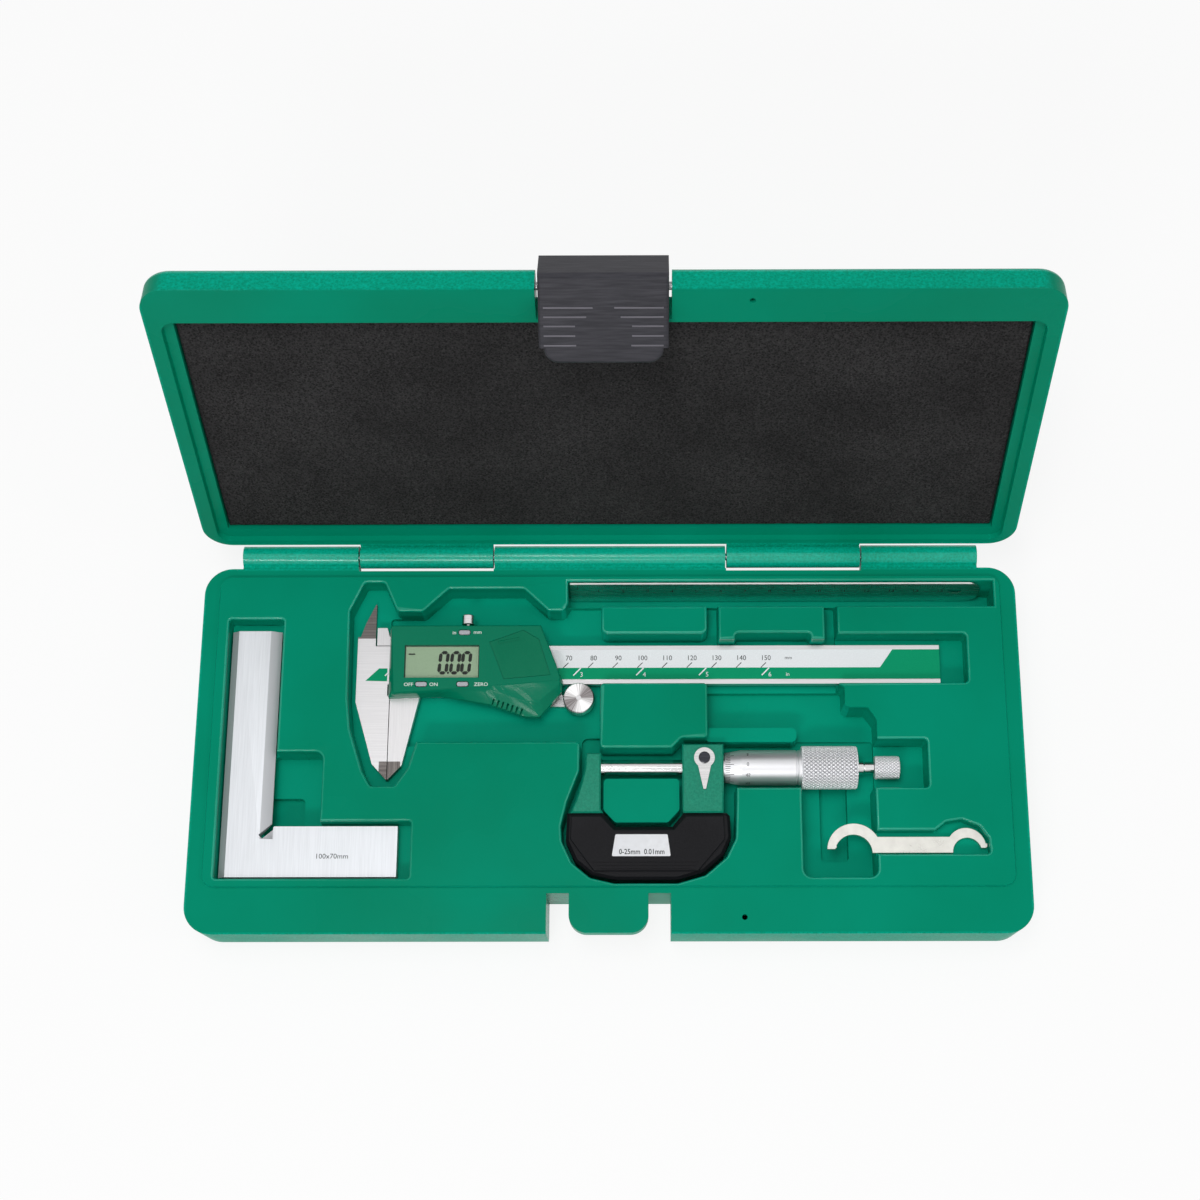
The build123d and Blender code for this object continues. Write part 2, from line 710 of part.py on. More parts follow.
fixed_jaw = [
    (-102.4, 19.4),
    (-102.4, 46.6),
    (-95.2, 46.6),
    (-95.2, beam_back),
    (-89.8, beam_back),
    (-89.8, 22.0),
    (-88.9, 22.0),
    (-88.9, -12.6),
    (-94.9, -6.0),
]
upper_jaw_fixed = [(-102.0, 46.0), (-99.6, 53.0), (-95.8, 61.0), (-95.5, 60.8), (-95.5, 46.0)]
moving_jaw = [(-88.6, -12.6), (-83.0, -6.6), (-76.3, 23.0), (-88.6, 23.0)]
with BuildPart() as caliper_beam:
    plate(box_points(-92.0, beam_right, beam_front, beam_back), beam_bottom, beam_top)
    plate(fixed_jaw, beam_bottom, beam_top)
    plate(upper_jaw_fixed, beam_bottom, beam_bottom + 1.6)
    rod_y = (beam_front + beam_back) / 2
    slab_cut(
        box_points(-80.0, beam_right + 1, rod_y - rod_half - groove_gap, rod_y + rod_half + groove_gap),
        beam_bottom - 1.0,
        beam_bottom + rod_depth + groove_gap,
    )
finish(caliper_beam.part, "caliper_beam")

# The printed scale is a thin plate bonded to the beam's face, between two bare steel edges.
scale_thickness = 0.25
with BuildPart() as beam_scale:
    plate(
        box_points(caliper_zero - 2.0, beam_right, beam_front + 1.9, beam_back - 1.8),
        beam_top,
        beam_top + scale_thickness,
    )
finish(beam_scale.part, "beam_scale")

# ---------------------------------------------------------------- digital caliper: slider and its housing
slider_left = -87.6
slider_right = -19.4
slider_back_right = -28.4
roller_x = -12.4
roller_y = 20.4
roller_radius = beam_front - roller_y - 0.05
roller_top = -2.6
roller_thickness = 5.2
axle_radius = 1.0
slide_gap = 0.3
rail_front = beam_front - slide_gap
rail_back = beam_back + slide_gap
with BuildPart() as caliper_slider:
    plate(moving_jaw, beam_bottom, beam_top)
    plate([(-94.6, 46.0), (-94.6, 50.4), (-90.6, 50.4), (-89.4, 46.0)], beam_bottom + 1.9, beam_top)
    plate(box_points(-94.6, slider_back_right, rail_back, rail_back + 3.8), beam_bottom, beam_top)
    back_rail = box_points(slider_left, slider_back_right, rail_back, rail_back + 3.8)
    plate(back_rail, beam_bottom - slider_under, beam_top)
    plate(
        box_points(slider_left, roller_x - roller_radius - 1.0, rail_front - 3.8, rail_front),
        beam_bottom - slider_under,
        beam_top,
    )
    plate(
        [
            (-30.0, 23.0),
            (-30.0, 18.6),
            (roller_x - 1.0, 18.0),
            (roller_x + 2.0, 19.0),
            (roller_x + 2.0, 23.0),
        ],
        beam_bottom - slider_under,
        beam_bottom - slide_gap,
        0.6,
    )
    plate(
        [
            (slider_left, rail_front - 3.8),
            (slider_right, rail_front - 3.8),
            (slider_right, rod_y + rod_half + 1.0),
            (slider_back_right, rail_back + 3.8),
            (slider_left, rail_back + 3.8),
        ],
        beam_bottom - slider_under,
        beam_bottom - slide_gap,
    )
finish(caliper_slider.part, "caliper_slider")

housing_bottom = beam_top
housing_back = 50.0
housing_shoulder = -2.0
housing_foot = [
    (-88.9, 20.6),
    (-68.4, 21.4),
    (-47.7, 17.6),
    (-33.6, 12.6),
    (-28.1, 12.4),
    (-19.1, 22.8),
    (-18.7, 26.8),
    (-21.2, 33.0),
    (-24.6, 42.0),
    (-27.6, housing_back),
    (-88.9, housing_back),
]
housing_face = [
    (-86.6, 21.4),
    (-67.9, 22.6),
    (-47.4, 24.0),
    (-33.0, 25.2),
    (-23.4, 26.0),
    (-20.0, 26.2),
    (-19.6, 27.6),
    (-21.4, 33.0),
    (-24.6, 41.4),
    (-27.8, housing_back - 0.6),
    (-88.3, housing_back - 0.6),
]
housing_crease_level = 0.9
housing_crease = [
    (-87.6, 20.9),
    (-68.1, 22.0),
    (-47.5, 22.7),
    (-32.6, 17.9),
    (-28.6, 17.8),
    (-19.7, 25.4),
    (-19.3, 27.3),
    (-21.3, 33.0),
    (-24.6, 41.6),
    (-27.7, housing_back - 0.4),
    (-88.5, housing_back - 0.4),
]
lcd_box = box_points(-82.4, -52.4, 27.6, 41.2)
cover_points = [(-48.4, 42.4), (-42.4, 26.9), (-23.6, 28.6), (-28.4, 43.6), (-34.8, 47.4)]
button_places = {"unit_button": (-58.5, 46.4), "power_button": (-75.4, 24.9), "zero_button": (-58.8, 24.9)}
button_size = (4.6, 1.8)
button_gap = 0.3
cell_centre = (-35.0, 35.5)
cell_radius = 5.8
cell_thickness = 5.0
grip_ribs = 7
grip_pitch = 1.9
screw_x = -57.4
screw_z = -1.8
housing_bevel = 0.4
with BuildSketch(Plane.XY.offset(rim + housing_top)) as housing_crown:
    with BuildLine():
        Polyline(*housing_face, close=True)
    make_face()
    offset(amount=-housing_bevel, kind=Kind.INTERSECTION)
housing_sections = [
    outline(housing_foot, housing_shoulder),
    outline(housing_crease, housing_crease_level),
    outline(housing_face, housing_top - housing_bevel),
    housing_crown.sketch,
]
with BuildPart() as slider_housing:
    plate(housing_foot, housing_bottom, housing_shoulder)
    loft(housing_sections, ruled=True)
    slab_cut(
        box_points(slider_left - 4.0, slider_right + 4.0, beam_front - 0.4, beam_back + 0.4),
        housing_bottom - 0.1,
        beam_top + scale_thickness + slide_gap,
    )
    slab_cut(box_points(-84.0, -50.6, 26.4, 42.4), beam_top + 0.6, housing_top - 1.6)
    slab_cut(lcd_box, beam_top + 0.6, housing_top + 1.0)
    slab_cut(cover_points, housing_top - 1.0, housing_top + 1.0)
    with Locations((cell_centre[0], cell_centre[1], rim + housing_top - 1.0 - cell_thickness / 2)):
        Cylinder(cell_radius + 0.2, cell_thickness + 0.4, mode=Mode.SUBTRACT)
    for place in button_places.values():
        with BuildSketch(Plane.XY.offset(rim + housing_top - 2.2)) as button_hole:
            with Locations(place):
                SlotOverall(button_size[0] + 2 * button_gap, button_size[1] + 2 * button_gap)
        extrude(button_hole.sketch, amount=4.0, mode=Mode.SUBTRACT)
    with BuildSketch(Plane.XZ.offset(-(housing_back - 2.8))) as screw_bore:
        with Locations((screw_x, rim + screw_z)):
            Circle(1.3)
    extrude(screw_bore.sketch, amount=-4.0, mode=Mode.SUBTRACT)
    for step in range(grip_ribs):
        with Locations((-47.0 + grip_pitch * step, 17.2 - grip_pitch * step * 0.35, rim - 1.6)):
            Box(0.8, 5.0, 4.4, rotation=(0, 0, -19), mode=Mode.SUBTRACT)
finish(slider_housing.part, "slider_housing")

with BuildPart() as circuit_board:
    plate(box_points(-83.6, -51.0, 26.8, 42.0), beam_top + 0.6, beam_top + 1.6)
finish(circuit_board.part, "circuit_board")
with BuildPart() as lcd_display:
    plate(box_points(-82.0, -52.8, 28.0, 40.8), beam_top + 1.6, housing_top - 1.4)
finish(lcd_display.part, "lcd_display")
with BuildPart() as lcd_window:
    plate(box_points(-82.4, -52.4, 27.6, 41.2), housing_top - 1.4, housing_top - 0.5)
finish(lcd_window.part, "lcd_window")
with BuildPart() as coin_cell:
    with Locations((cell_centre[0], cell_centre[1], rim + housing_top - 1.0 - cell_thickness / 2)):
        Cylinder(cell_radius, cell_thickness)
    chamfer(coin_cell.edges().filter_by(GeomType.CIRCLE), 0.4)
finish(coin_cell.part, "coin_cell")
with BuildPart() as battery_cover:
    with BuildSketch(Plane.XY.offset(rim + housing_top - 1.0)):
        with BuildLine():
            Polyline(*cover_points, close=True)
        make_face()
        offset(amount=-0.15, kind=Kind.INTERSECTION)
    extrude(amount=1.0)
    with Locations((-40.6, 42.9, rim + housing_top)):
        Box(8.6, 1.3, 0.6, rotation=(0, 0, 11), mode=Mode.SUBTRACT)
finish(battery_cover.part, "battery_cover")

for name, place in button_places.items():
    with BuildPart() as button:
        with BuildSketch(Plane.XY.offset(rim + housing_top - 1.7)):
            with Locations(place):
                SlotOverall(*button_size)
        extrude(amount=2.0)
        fillet(button.faces().sort_by(Axis.Z)[-1].edges(), 0.3)
    finish(button.part, name)

# The clamp screw stands out of the slider's back edge and presses on the beam through the housing.
with BuildPart() as clamp_screw:
    with BuildSketch(Plane.XZ.offset(-(housing_back + 0.4))):
        with Locations((screw_x, rim + screw_z)):
            Circle(2.6)
    extrude(amount=-4.2)
    chamfer(clamp_screw.edges().filter_by(GeomType.CIRCLE), 0.35)
    with BuildSketch(Plane.XZ.offset(-(housing_back - 2.2))):
        with Locations((screw_x, rim + screw_z)):
            Circle(1.0)
    extrude(amount=-3.0)
finish(clamp_screw.part, "clamp_screw")

# ---------------------------------------------------------------- thumb roller, its axle, depth rod, end stop
with BuildPart() as thumb_roller:
    with Locations((roller_x, roller_y, rim + roller_top - roller_thickness / 2)):
        Cylinder(roller_radius, roller_thickness)
    chamfer(thumb_roller.edges().filter_by(GeomType.CIRCLE), 0.4)
    with Locations((roller_x, roller_y, rim + roller_top)):
        Cylinder(axle_radius + pin_fit, 20.0, mode=Mode.SUBTRACT)
finish(thumb_roller.part, "thumb_roller")
with BuildPart() as roller_axle:
    axle_foot = rim + beam_bottom - slide_gap
    with Locations((roller_x, roller_y, axle_foot)):
        Cylinder(axle_radius, rim + roller_top - axle_foot, align=(Align.CENTER, Align.CENTER, Align.MIN))
        Cylinder(
            axle_radius + 0.6,
            rim + roller_top - roller_thickness - 0.2 - axle_foot,
            align=(Align.CENTER, Align.CENTER, Align.MIN),
        )
finish(roller_axle.part, "roller_axle")

with BuildPart() as depth_rod:
    plate(
        box_points(slider_right - 10.0, beam_right - 0.3, rod_y - rod_half, rod_y + rod_half),
        beam_bottom,
        beam_bottom + rod_depth,
    )
    plate(
        box_points(slider_right - 10.0, slider_right, rod_y - rod_half, rod_y + rod_half),
        beam_bottom - slide_gap,
        beam_bottom + 0.1,
    )
finish(depth_rod.part, "depth_rod")

# ---------------------------------------------------------------- micrometer
frame_low = mic_axis_z - frame_half
frame_high = mic_axis_z + frame_half
left_arm = from_line(mic_axis_y, [
    (-9.2, 4.95), (-9.6, -1.55), (-11.1, -7.75), (-12.7, -13.15), (-15.2, -19.15), (-2.3, -19.15),
    (-3.3, -17.75), (-3.3, 4.95),
])
right_arm = from_line(mic_axis_y, [
    (29.0, 8.55), (29.0, -17.75), (29.4, -19.15), (45.2, -19.15), (45.4, -8.35), (45.4, 8.55),
])
bow_outline = from_line(mic_axis_y, [
    (-14.0, -17.35), (-4.6, -17.35), (0.4, -26.35), (26.8, -26.35), (31.6, -17.35), (44.0, -17.35),
    (46.0, -28.35), (43.2, -34.75), (36.4, -40.75), (26.4, -43.55), (2.8, -43.55), (-5.6, -41.75),
    (-11.4, -37.15), (-14.8, -29.75),
])


def mic_cylinder(left, right, radius, mode=Mode.ADD):
    """A cylinder on the micrometer's axis between two places in X."""
    with BuildSketch(profile_plane(left)) as disc:
        with Locations((mic_axis_y, rim + mic_axis_z)):
            Circle(radius)
    extrude(disc.sketch, amount=right - left, mode=mode)


frame_left = -3.3
frame_right = 45.4
bow_half = 4.5
with BuildPart() as micrometer_frame:
    plate(left_arm, frame_low, frame_high)
    plate(right_arm, frame_low, frame_high)
    chamfer(micrometer_frame.faces().filter_by(Axis.Z).edges(), 0.6)
    plate(bow_outline, mic_axis_z - bow_half, mic_axis_z + bow_half)
    mic_cylinder(28.9, frame_right + 0.1, spindle_radius + pin_fit, Mode.SUBTRACT)
    mic_cylinder(38.0, frame_right + 0.1, sleeve_radius, Mode.SUBTRACT)
    mic_cylinder(-8.0, frame_left + 0.1, 2.0, Mode.SUBTRACT)
finish(micrometer_frame.part, "micrometer_frame")

with BuildPart() as anvil:
    mic_cylinder(frame_left, mic_face, spindle_radius)
    mic_cylinder(-8.0, frame_left, 2.0)
finish(anvil.part, "anvil")

cover_outline = from_line(mic_axis_y, [
    (-16.5, -19.15), (-2.3, -19.15), (2.6, -24.55), (25.0, -24.55), (29.4, -19.15), (46.4, -19.15),
    (47.6, -20.35), (48.0, -28.95), (44.8, -35.95), (37.2, -42.55), (26.8, -45.55), (2.4, -45.55),
    (-6.6, -43.65), (-13.2, -38.35), (-16.9, -30.35),
])
panel_outline = from_line(mic_axis_y, [
    (-14.9, -20.55), (-2.9, -20.55), (2.2, -25.95), (25.4, -25.95), (30.2, -20.55), (45.2, -20.55),
    (45.6, -29.85), (35.0, -42.35), (-5.9, -42.35), (-15.2, -29.75),
])
# Two black plastic shells clasp the bow from the front and the back and meet at its middle.
with BuildPart() as cover_front:
    plate(cover_outline, mic_axis_z, frame_high)
    chamfer(cover_front.faces().sort_by(Axis.Z)[-1].edges(), 1.2)
    plate(panel_outline, frame_high - 0.5, frame_high + cover_half - frame_half)
    chamfer(cover_front.faces().sort_by(Axis.Z)[-1].edges(), 0.4)
    slab_cut(bow_outline, mic_axis_z - 0.1, mic_axis_z + bow_half)
    for step in range(3):
        with Locations((14.6, mic_axis_y - 38.95 - 1.3 * step, rim + frame_high + cover_half - frame_half)):
            Box(42.0 - 3.0 * step, 0.4, 0.5, mode=Mode.SUBTRACT)
finish(cover_front.part, "cover_front")
finish(cover_front.part.mirror(Plane.XY.offset(rim + mic_axis_z)), "cover_back")

with BuildPart() as range_label:
    plate(
        from_line(mic_axis_y, [(2.6, -27.95), (23.0, -27.95), (24.2, -36.55), (1.2, -36.55)]),
        frame_high + cover_half - frame_half,
        frame_high + cover_half - frame_half + 0.15,
        0.5,
    )
finish(range_label.part, "range_label")

sleeve_end = 76.0
with BuildPart() as sleeve:
    mic_cylinder(38.1, sleeve_end, sleeve_radius)
    mic_cylinder(38.0, sleeve_end + 1.0, spindle_radius + pin_fit, Mode.SUBTRACT)
finish(sleeve.part, "sleeve")

thimble_left = 46.0
thimble_nose = 6.5
grip_left = 76.5
grip_right = 98.6
spindle_end = 92.0
with BuildPart() as spindle:
    mic_cylinder(mic_face + 0.1, spindle_end, spindle_radius)
finish(spindle.part, "spindle")

with BuildPart() as thimble:
    with BuildSketch(Plane.XY) as half_section:
        with BuildLine():
            Polyline(
                (thimble_left, sleeve_radius + 0.3),
                (thimble_left, sleeve_radius + 0.7),
                (thimble_left + thimble_nose, thimble_radius),
                (grip_left, thimble_radius),
                (grip_left, grip_radius - 0.4),
                (grip_left + 0.4, grip_radius),
                (grip_right - 0.6, grip_radius),
                (grip_right, grip_radius - 0.6),
                (grip_right, spindle_radius + pin_fit),
                (grip_right - 10.0, spindle_radius + pin_fit),
                (grip_right - 10.0, sleeve_radius + 0.3),
                close=True,
            )
        make_face()
    revolve(half_section.sketch, axis=Axis.X)
thimble_part = thimble.part.moved(Location((0, mic_axis_y, rim + mic_axis_z)))
finish(thimble_part, "thimble")

neck_right = 105.6
knob_right = 115.6
with BuildPart() as ratchet_neck:
    mic_cylinder(spindle_end + 0.3, grip_right, spindle_radius)
    mic_cylinder(grip_right, grip_right + 2.6, 2.7)
    mic_cylinder(grip_right + 2.6, grip_right + 3.2, 1.9)
    mic_cylinder(grip_right + 3.2, neck_right - 0.2, 2.4)
finish(ratchet_neck.part, "ratchet_neck")
with BuildPart() as ratchet_knob:
    mic_cylinder(neck_right, knob_right, knob_radius)
    chamfer(ratchet_knob.edges().filter_by(GeomType.CIRCLE), 0.4)
finish(ratchet_knob.part, "ratchet_knob")

lock_x = 37.8
lock_y = mic_axis_y + 2.65
lock_base = frame_high
with BuildPart() as lock_lever:
    with BuildSketch(Plane.XY.offset(rim + lock_base + 0.2)):
        with Locations((lock_x, lock_y)):
            Circle(4.1)
        with BuildLine():
            Polyline(
                (lock_x - 2.6, lock_y - 3.0),
                (lock_x + 2.6, lock_y - 3.0),
                (lock_x + 0.5, lock_y - 12.6),
                (lock_x - 0.5, lock_y - 12.6),
                close=True,
            )
        make_face()
        with Locations((lock_x, lock_y)):
            Circle(1.6, mode=Mode.SUBTRACT)
    extrude(amount=1.1)
finish(lock_lever.part, "lock_lever")
with BuildPart() as lock_screw:
    with Locations((lock_x, lock_y, rim + lock_base)):
        Cylinder(1.5, 1.4, align=(Align.CENTER, Align.CENTER, Align.MIN))
    with Locations((lock_x, lock_y, rim + lock_base + 1.4)):
        Cylinder(2.3, 1.0, align=(Align.CENTER, Align.CENTER, Align.MIN))
    fillet(lock_screw.faces().sort_by(Axis.Z)[-1].edges(), 0.4)
finish(lock_screw.part, "lock_screw")
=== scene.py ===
import json
import math

import bmesh
import bpy
import numpy as np
from mathutils import Matrix, Vector


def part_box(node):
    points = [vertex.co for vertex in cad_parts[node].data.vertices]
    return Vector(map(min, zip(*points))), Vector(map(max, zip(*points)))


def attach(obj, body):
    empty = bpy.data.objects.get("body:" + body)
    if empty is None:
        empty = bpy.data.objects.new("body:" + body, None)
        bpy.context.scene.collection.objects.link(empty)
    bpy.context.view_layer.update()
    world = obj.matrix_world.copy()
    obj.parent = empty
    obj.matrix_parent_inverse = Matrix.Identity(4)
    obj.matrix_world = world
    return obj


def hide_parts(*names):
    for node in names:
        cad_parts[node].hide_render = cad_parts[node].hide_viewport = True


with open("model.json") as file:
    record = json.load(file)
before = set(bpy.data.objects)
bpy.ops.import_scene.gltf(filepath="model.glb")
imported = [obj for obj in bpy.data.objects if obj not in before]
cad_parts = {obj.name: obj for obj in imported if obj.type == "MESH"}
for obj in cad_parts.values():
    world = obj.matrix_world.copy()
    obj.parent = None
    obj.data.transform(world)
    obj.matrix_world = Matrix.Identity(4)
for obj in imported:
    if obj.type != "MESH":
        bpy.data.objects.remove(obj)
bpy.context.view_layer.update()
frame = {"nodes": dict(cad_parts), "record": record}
nodes = frame["nodes"]

MM = 0.001

# ---- places that several pieces share, in millimetres
RIM = 28.0
HINGE_Y = 79.8
HINGE_Z = 25.7
LID_OPEN = math.radians(-108.75)

CALIPER_ZERO = -86.7
SCALE_TOP = 23.25
JAW_TOP = 23.0
HOUSING_TOP = 30.3
MIC_Y = -7.65
MIC_Z = 21.8
SQUARE_TOP = 26.0
LATCH_FACE_TILT = math.radians(43.25)
PRINT_RISE = 0.03

# the groove number of plain turned chrome, between a knurl's crest and its floor
SMOOTH_TONE = 0.5


# ---- mesh helpers
def opened(points):
    """Points drawn with the lid closed, turned about the hinge line to where the open lid carries them."""
    p = np.asarray(points, float).copy()
    dy = p[..., 1] - HINGE_Y
    dz = p[..., 2] - HINGE_Z
    p[..., 1] = HINGE_Y + dy * math.cos(LID_OPEN) - dz * math.sin(LID_OPEN)
    p[..., 2] = HINGE_Z + dy * math.sin(LID_OPEN) + dz * math.cos(LID_OPEN)
    return p


def placed(name, data):
    """A new object in the scene, at the origin."""
    made = bpy.data.objects.new(name, data)
    bpy.context.collection.objects.link(made)
    return made


def mesh_piece(name, points, faces, body, material, slot, smooth=False, groove=None):
    """A mesh object from points in millimetres and lists of corner numbers, riding on a body.
    groove is one number per point for the knurled chrome: 0 on a crest, 1 in a groove and SMOOTH_TONE on
    plain turned metal."""
    mesh = bpy.data.meshes.new(name)
    mesh.from_pydata((np.asarray(points, float) * MM).tolist(), [], [list(map(int, f)) for f in faces])
    mesh.update()
    mesh.materials.append(material)
    if groove is not None:
        mesh.attributes.new("groove", "FLOAT", "POINT").data.foreach_set("value", groove)
    if smooth:
        mesh.shade_smooth()
    piece = placed(name, mesh)
    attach(piece, body)
    return piece


def grid_faces(rows, columns, wrap_rows=False, wrap_columns=False):
    """The quads of a grid of points, rows by columns, closed round either way if asked."""
    r = np.arange(rows if wrap_rows else rows - 1)[:, None]
    c = np.arange(columns if wrap_columns else columns - 1)[None, :]
    r2 = (r + 1) % rows
    c2 = (c + 1) % columns
    quads = np.stack([r * columns + c, r * columns + c2, r2 * columns + c2, r2 * columns + c], axis=-1)
    return quads.reshape(-1, 4)


def prism(outline, low, high):
    """Points and faces of an upright prism over an outline that runs anticlockwise from above."""
    flat = np.asarray(outline, float)
    count = len(flat)
    points = np.concatenate(
        [np.column_stack([flat, np.full(count, low)]), np.column_stack([flat, np.full(count, high)])]
    )
    i = np.arange(count)
    j = (i + 1) % count
    sides = np.column_stack([i, j, j + count, i + count]).tolist()
    return points, [list(range(count))[::-1], list(range(count, 2 * count))] + sides


def printed(outline, low):
    """A patch of print over an outline, one print's thickness high."""
    return prism(outline, low, low + PRINT_RISE)


def joined(parts):
    """Several (points, faces) pairs as one."""
    points = []
    faces = []
    start = 0
    for part_points, part_faces in parts:
        points.append(np.asarray(part_points, float))
        faces.extend([[int(c) + start for c in face] for face in part_faces])
        start += len(part_points)
    return np.concatenate(points), faces


def directions(a, b):
    """The unit vector from one plan point to another, and the one square to it on its left."""
    along = (b - a) / np.linalg.norm(b - a)
    return along, np.array([-along[1], along[0]])


def bar(start, end, width, low, high):
    """A flat bar between two points in plan, as an outline prism."""
    a = np.array(start, float)
    b = np.array(end, float)
    side = directions(a, b)[1] * width / 2
    return prism([a - side, b - side, b + side, a + side], low, high)


WELD = 0.002 * MM
SMOOTH_LIMIT = math.radians(30.0)
BEND_LIMIT = math.radians(2.0)
BAND_WIDTH = 0.9 * MM
LONG_SHARE = 0.45


def on_rounding(face):
    """True for a narrow face that bends outward from its neighbour along a long side."""
    longest = max(edge.calc_length() for edge in face.edges)
    if longest == 0.0 or 2.0 * face.calc_area() / longest > BAND_WIDTH:
        return False
    return any(
        edge.calc_length() > LONG_SHARE * longest
        and BEND_LIMIT < edge.calc_face_angle_signed(0.0) < SMOOTH_LIMIT
        for edge in face.edges
    )


def joined_skin(node_name, body, material):
    """A node's loose triangles joined into one skin, with roundings smooth and flat faces kept flat by area
    weighting. Each face's edge_band is 1 on an outward rounding and 0 elsewhere."""
    shape = bmesh.new()
    shape.from_mesh(nodes[node_name].data)
    bmesh.ops.remove_doubles(shape, verts=shape.verts, dist=WELD)
    for edge in shape.edges:
        edge.smooth = edge.calc_face_angle(math.pi) < SMOOTH_LIMIT
    band = shape.faces.layers.float.new("edge_band")
    for face in shape.faces:
        face.smooth = True
        face[band] = float(on_rounding(face))
    mesh = bpy.data.meshes.new(node_name + "_skin")
    shape.to_mesh(mesh)
    shape.free()
    mesh.materials.append(material)
    skin = placed(node_name + "_skin", mesh)
    flat = skin.modifiers.new("flat_faces", "WEIGHTED_NORMAL")
    flat.mode = "FACE_AREA"
    flat.keep_sharp = True
    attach(skin, body)
    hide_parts(node_name)


# the built-in font's size for capitals one millimetre high
FONT_SIZE = 1.38


def lettering(text, size, centre, height, stretch=1.0, bold=0.0):
    """The faces of a built-in font's letters, size high, lying flat at a height, centred on a plan point."""
    curve = bpy.data.curves.new("letters", "FONT")
    curve.body = text
    curve.size = size * FONT_SIZE
    curve.align_x = "CENTER"
    curve.align_y = "CENTER"
    curve.offset = bold * size
    curve.resolution_u = 3
    holder = bpy.data.objects.new("letters", curve)
    flat = bpy.data.meshes.new_from_object(holder)
    points = np.zeros(len(flat.vertices) * 3)
    flat.vertices.foreach_get("co", points)
    points = points.reshape(-1, 3)
    faces = [list(polygon.vertices) for polygon in flat.polygons]
    bpy.data.objects.remove(holder)
    bpy.data.curves.remove(curve)
    bpy.data.meshes.remove(flat)
    middle = (points.min(0) + points.max(0)) / 2
    points[:, 0] = (points[:, 0] - middle[0]) * stretch + centre[0]
    points[:, 1] = points[:, 1] - middle[1] + centre[1]
    points[:, 2] = height
    return points, faces


# ---- material helpers
def link(tree, a, b):
    """Join an output socket to an input socket."""
    tree.links.new(a, b)


def new_material(name, colour, roughness, metallic=0.0, specular=0.5):
    """A Principled material with plain values on its own sockets."""
    material = bpy.data.materials.new(name)
    material.use_nodes = True
    shader = material.node_tree.nodes["Principled BSDF"]
    shader.inputs["Base Color"].default_value = (*colour, 1.0)
    shader.inputs["Roughness"].default_value = roughness
    shader.inputs["Metallic"].default_value = metallic
    shader.inputs["Specular IOR Level"].default_value = specular
    return material, material.node_tree, shader


def math_node(tree, kind, *terms):
    """A Math node with each term, a socket or a number, in its own input."""
    node = tree.nodes.new("ShaderNodeMath")
    node.operation = kind
    for socket, term in zip(node.inputs, terms):
        if isinstance(term, float):
            socket.default_value = term
        else:
            link(tree, term, socket)
    return node.outputs[0]


def spread(tree, value, low, high, out_low=0.0, out_high=1.0):
    """A value taken from one range to another, held at the ends."""
    ramp = tree.nodes.new("ShaderNodeMapRange")
    for socket, number in (("From Min", low), ("From Max", high), ("To Min", out_low), ("To Max", out_high)):
        ramp.inputs[socket].default_value = number
    link(tree, value, ramp.inputs["Value"])
    return ramp.outputs["Result"]


NOISE_LOW = 0.3
NOISE_HIGH = 0.7


def from_noise(tree, value, out_low=0.0, out_high=1.0):
    """A noise, which lies mostly between NOISE_LOW and NOISE_HIGH, taken to another range."""
    return spread(tree, value, NOISE_LOW, NOISE_HIGH, out_low, out_high)


def noise(tree, place, scale, detail=2.0, roughness=0.5):
    """A soft noise at a place."""
    node = tree.nodes.new("ShaderNodeTexNoise")
    node.inputs["Scale"].default_value = scale
    node.inputs["Detail"].default_value = detail
    node.inputs["Roughness"].default_value = roughness
    link(tree, place, node.inputs["Vector"])
    return node.outputs["Fac"]


def object_place(tree):
    """The Object coordinates."""
    return tree.nodes.new("ShaderNodeTexCoord").outputs["Object"]


def axes(tree, vector):
    """A vector's X, Y and Z sockets."""
    apart = tree.nodes.new("ShaderNodeSeparateXYZ")
    link(tree, vector, apart.inputs["Vector"])
    return apart.outputs


def attribute(tree, name):
    """A mesh attribute's value."""
    node = tree.nodes.new("ShaderNodeAttribute")
    node.attribute_name = name
    return node.outputs["Fac"]


def group_with(name, inputs, outputs):
    """An empty node group with a Vector input, and named inputs of a kind and float outputs."""
    group = bpy.data.node_groups.new(name, "ShaderNodeTree")
    for socket, kind in (("Vector", "NodeSocketVector"), *inputs):
        group.interface.new_socket(name=socket, in_out="INPUT", socket_type=kind)
    for socket in outputs:
        group.interface.new_socket(name=socket, in_out="OUTPUT", socket_type="NodeSocketFloat")
    entry = group.nodes.new("NodeGroupInput")
    leave = group.nodes.new("NodeGroupOutput")
    return group, entry.outputs, leave.inputs


def pebble_grain_group():
    """Spark-eroded plastic skin: rounded cells mixed with a finer noise, as a height and a shade, 0 to 1."""
    group, entry, leave = group_with("pebble_grain", [("Scale", "NodeSocketFloat")], ["Height", "Shade"])
    cells = group.nodes.new("ShaderNodeTexVoronoi")
    cells.feature = "SMOOTH_F1"
    fine = group.nodes.new("ShaderNodeTexNoise")
    fine.inputs["Detail"].default_value = 3.0
    for node in (cells, fine):
        link(group, entry["Vector"], node.inputs["Vector"])
    link(group, entry["Scale"], cells.inputs["Scale"])
    link(group, math_node(group, "MULTIPLY", entry["Scale"], 1.7), fine.inputs["Scale"])
    mixed = math_node(group, "ADD", cells.outputs["Distance"], fine.outputs["Fac"])
    height = math_node(group, "MULTIPLY", mixed, 0.6)
    link(group, height, leave["Height"])
    link(group, spread(group, height, 0.3, 0.8), leave["Shade"])
    return group


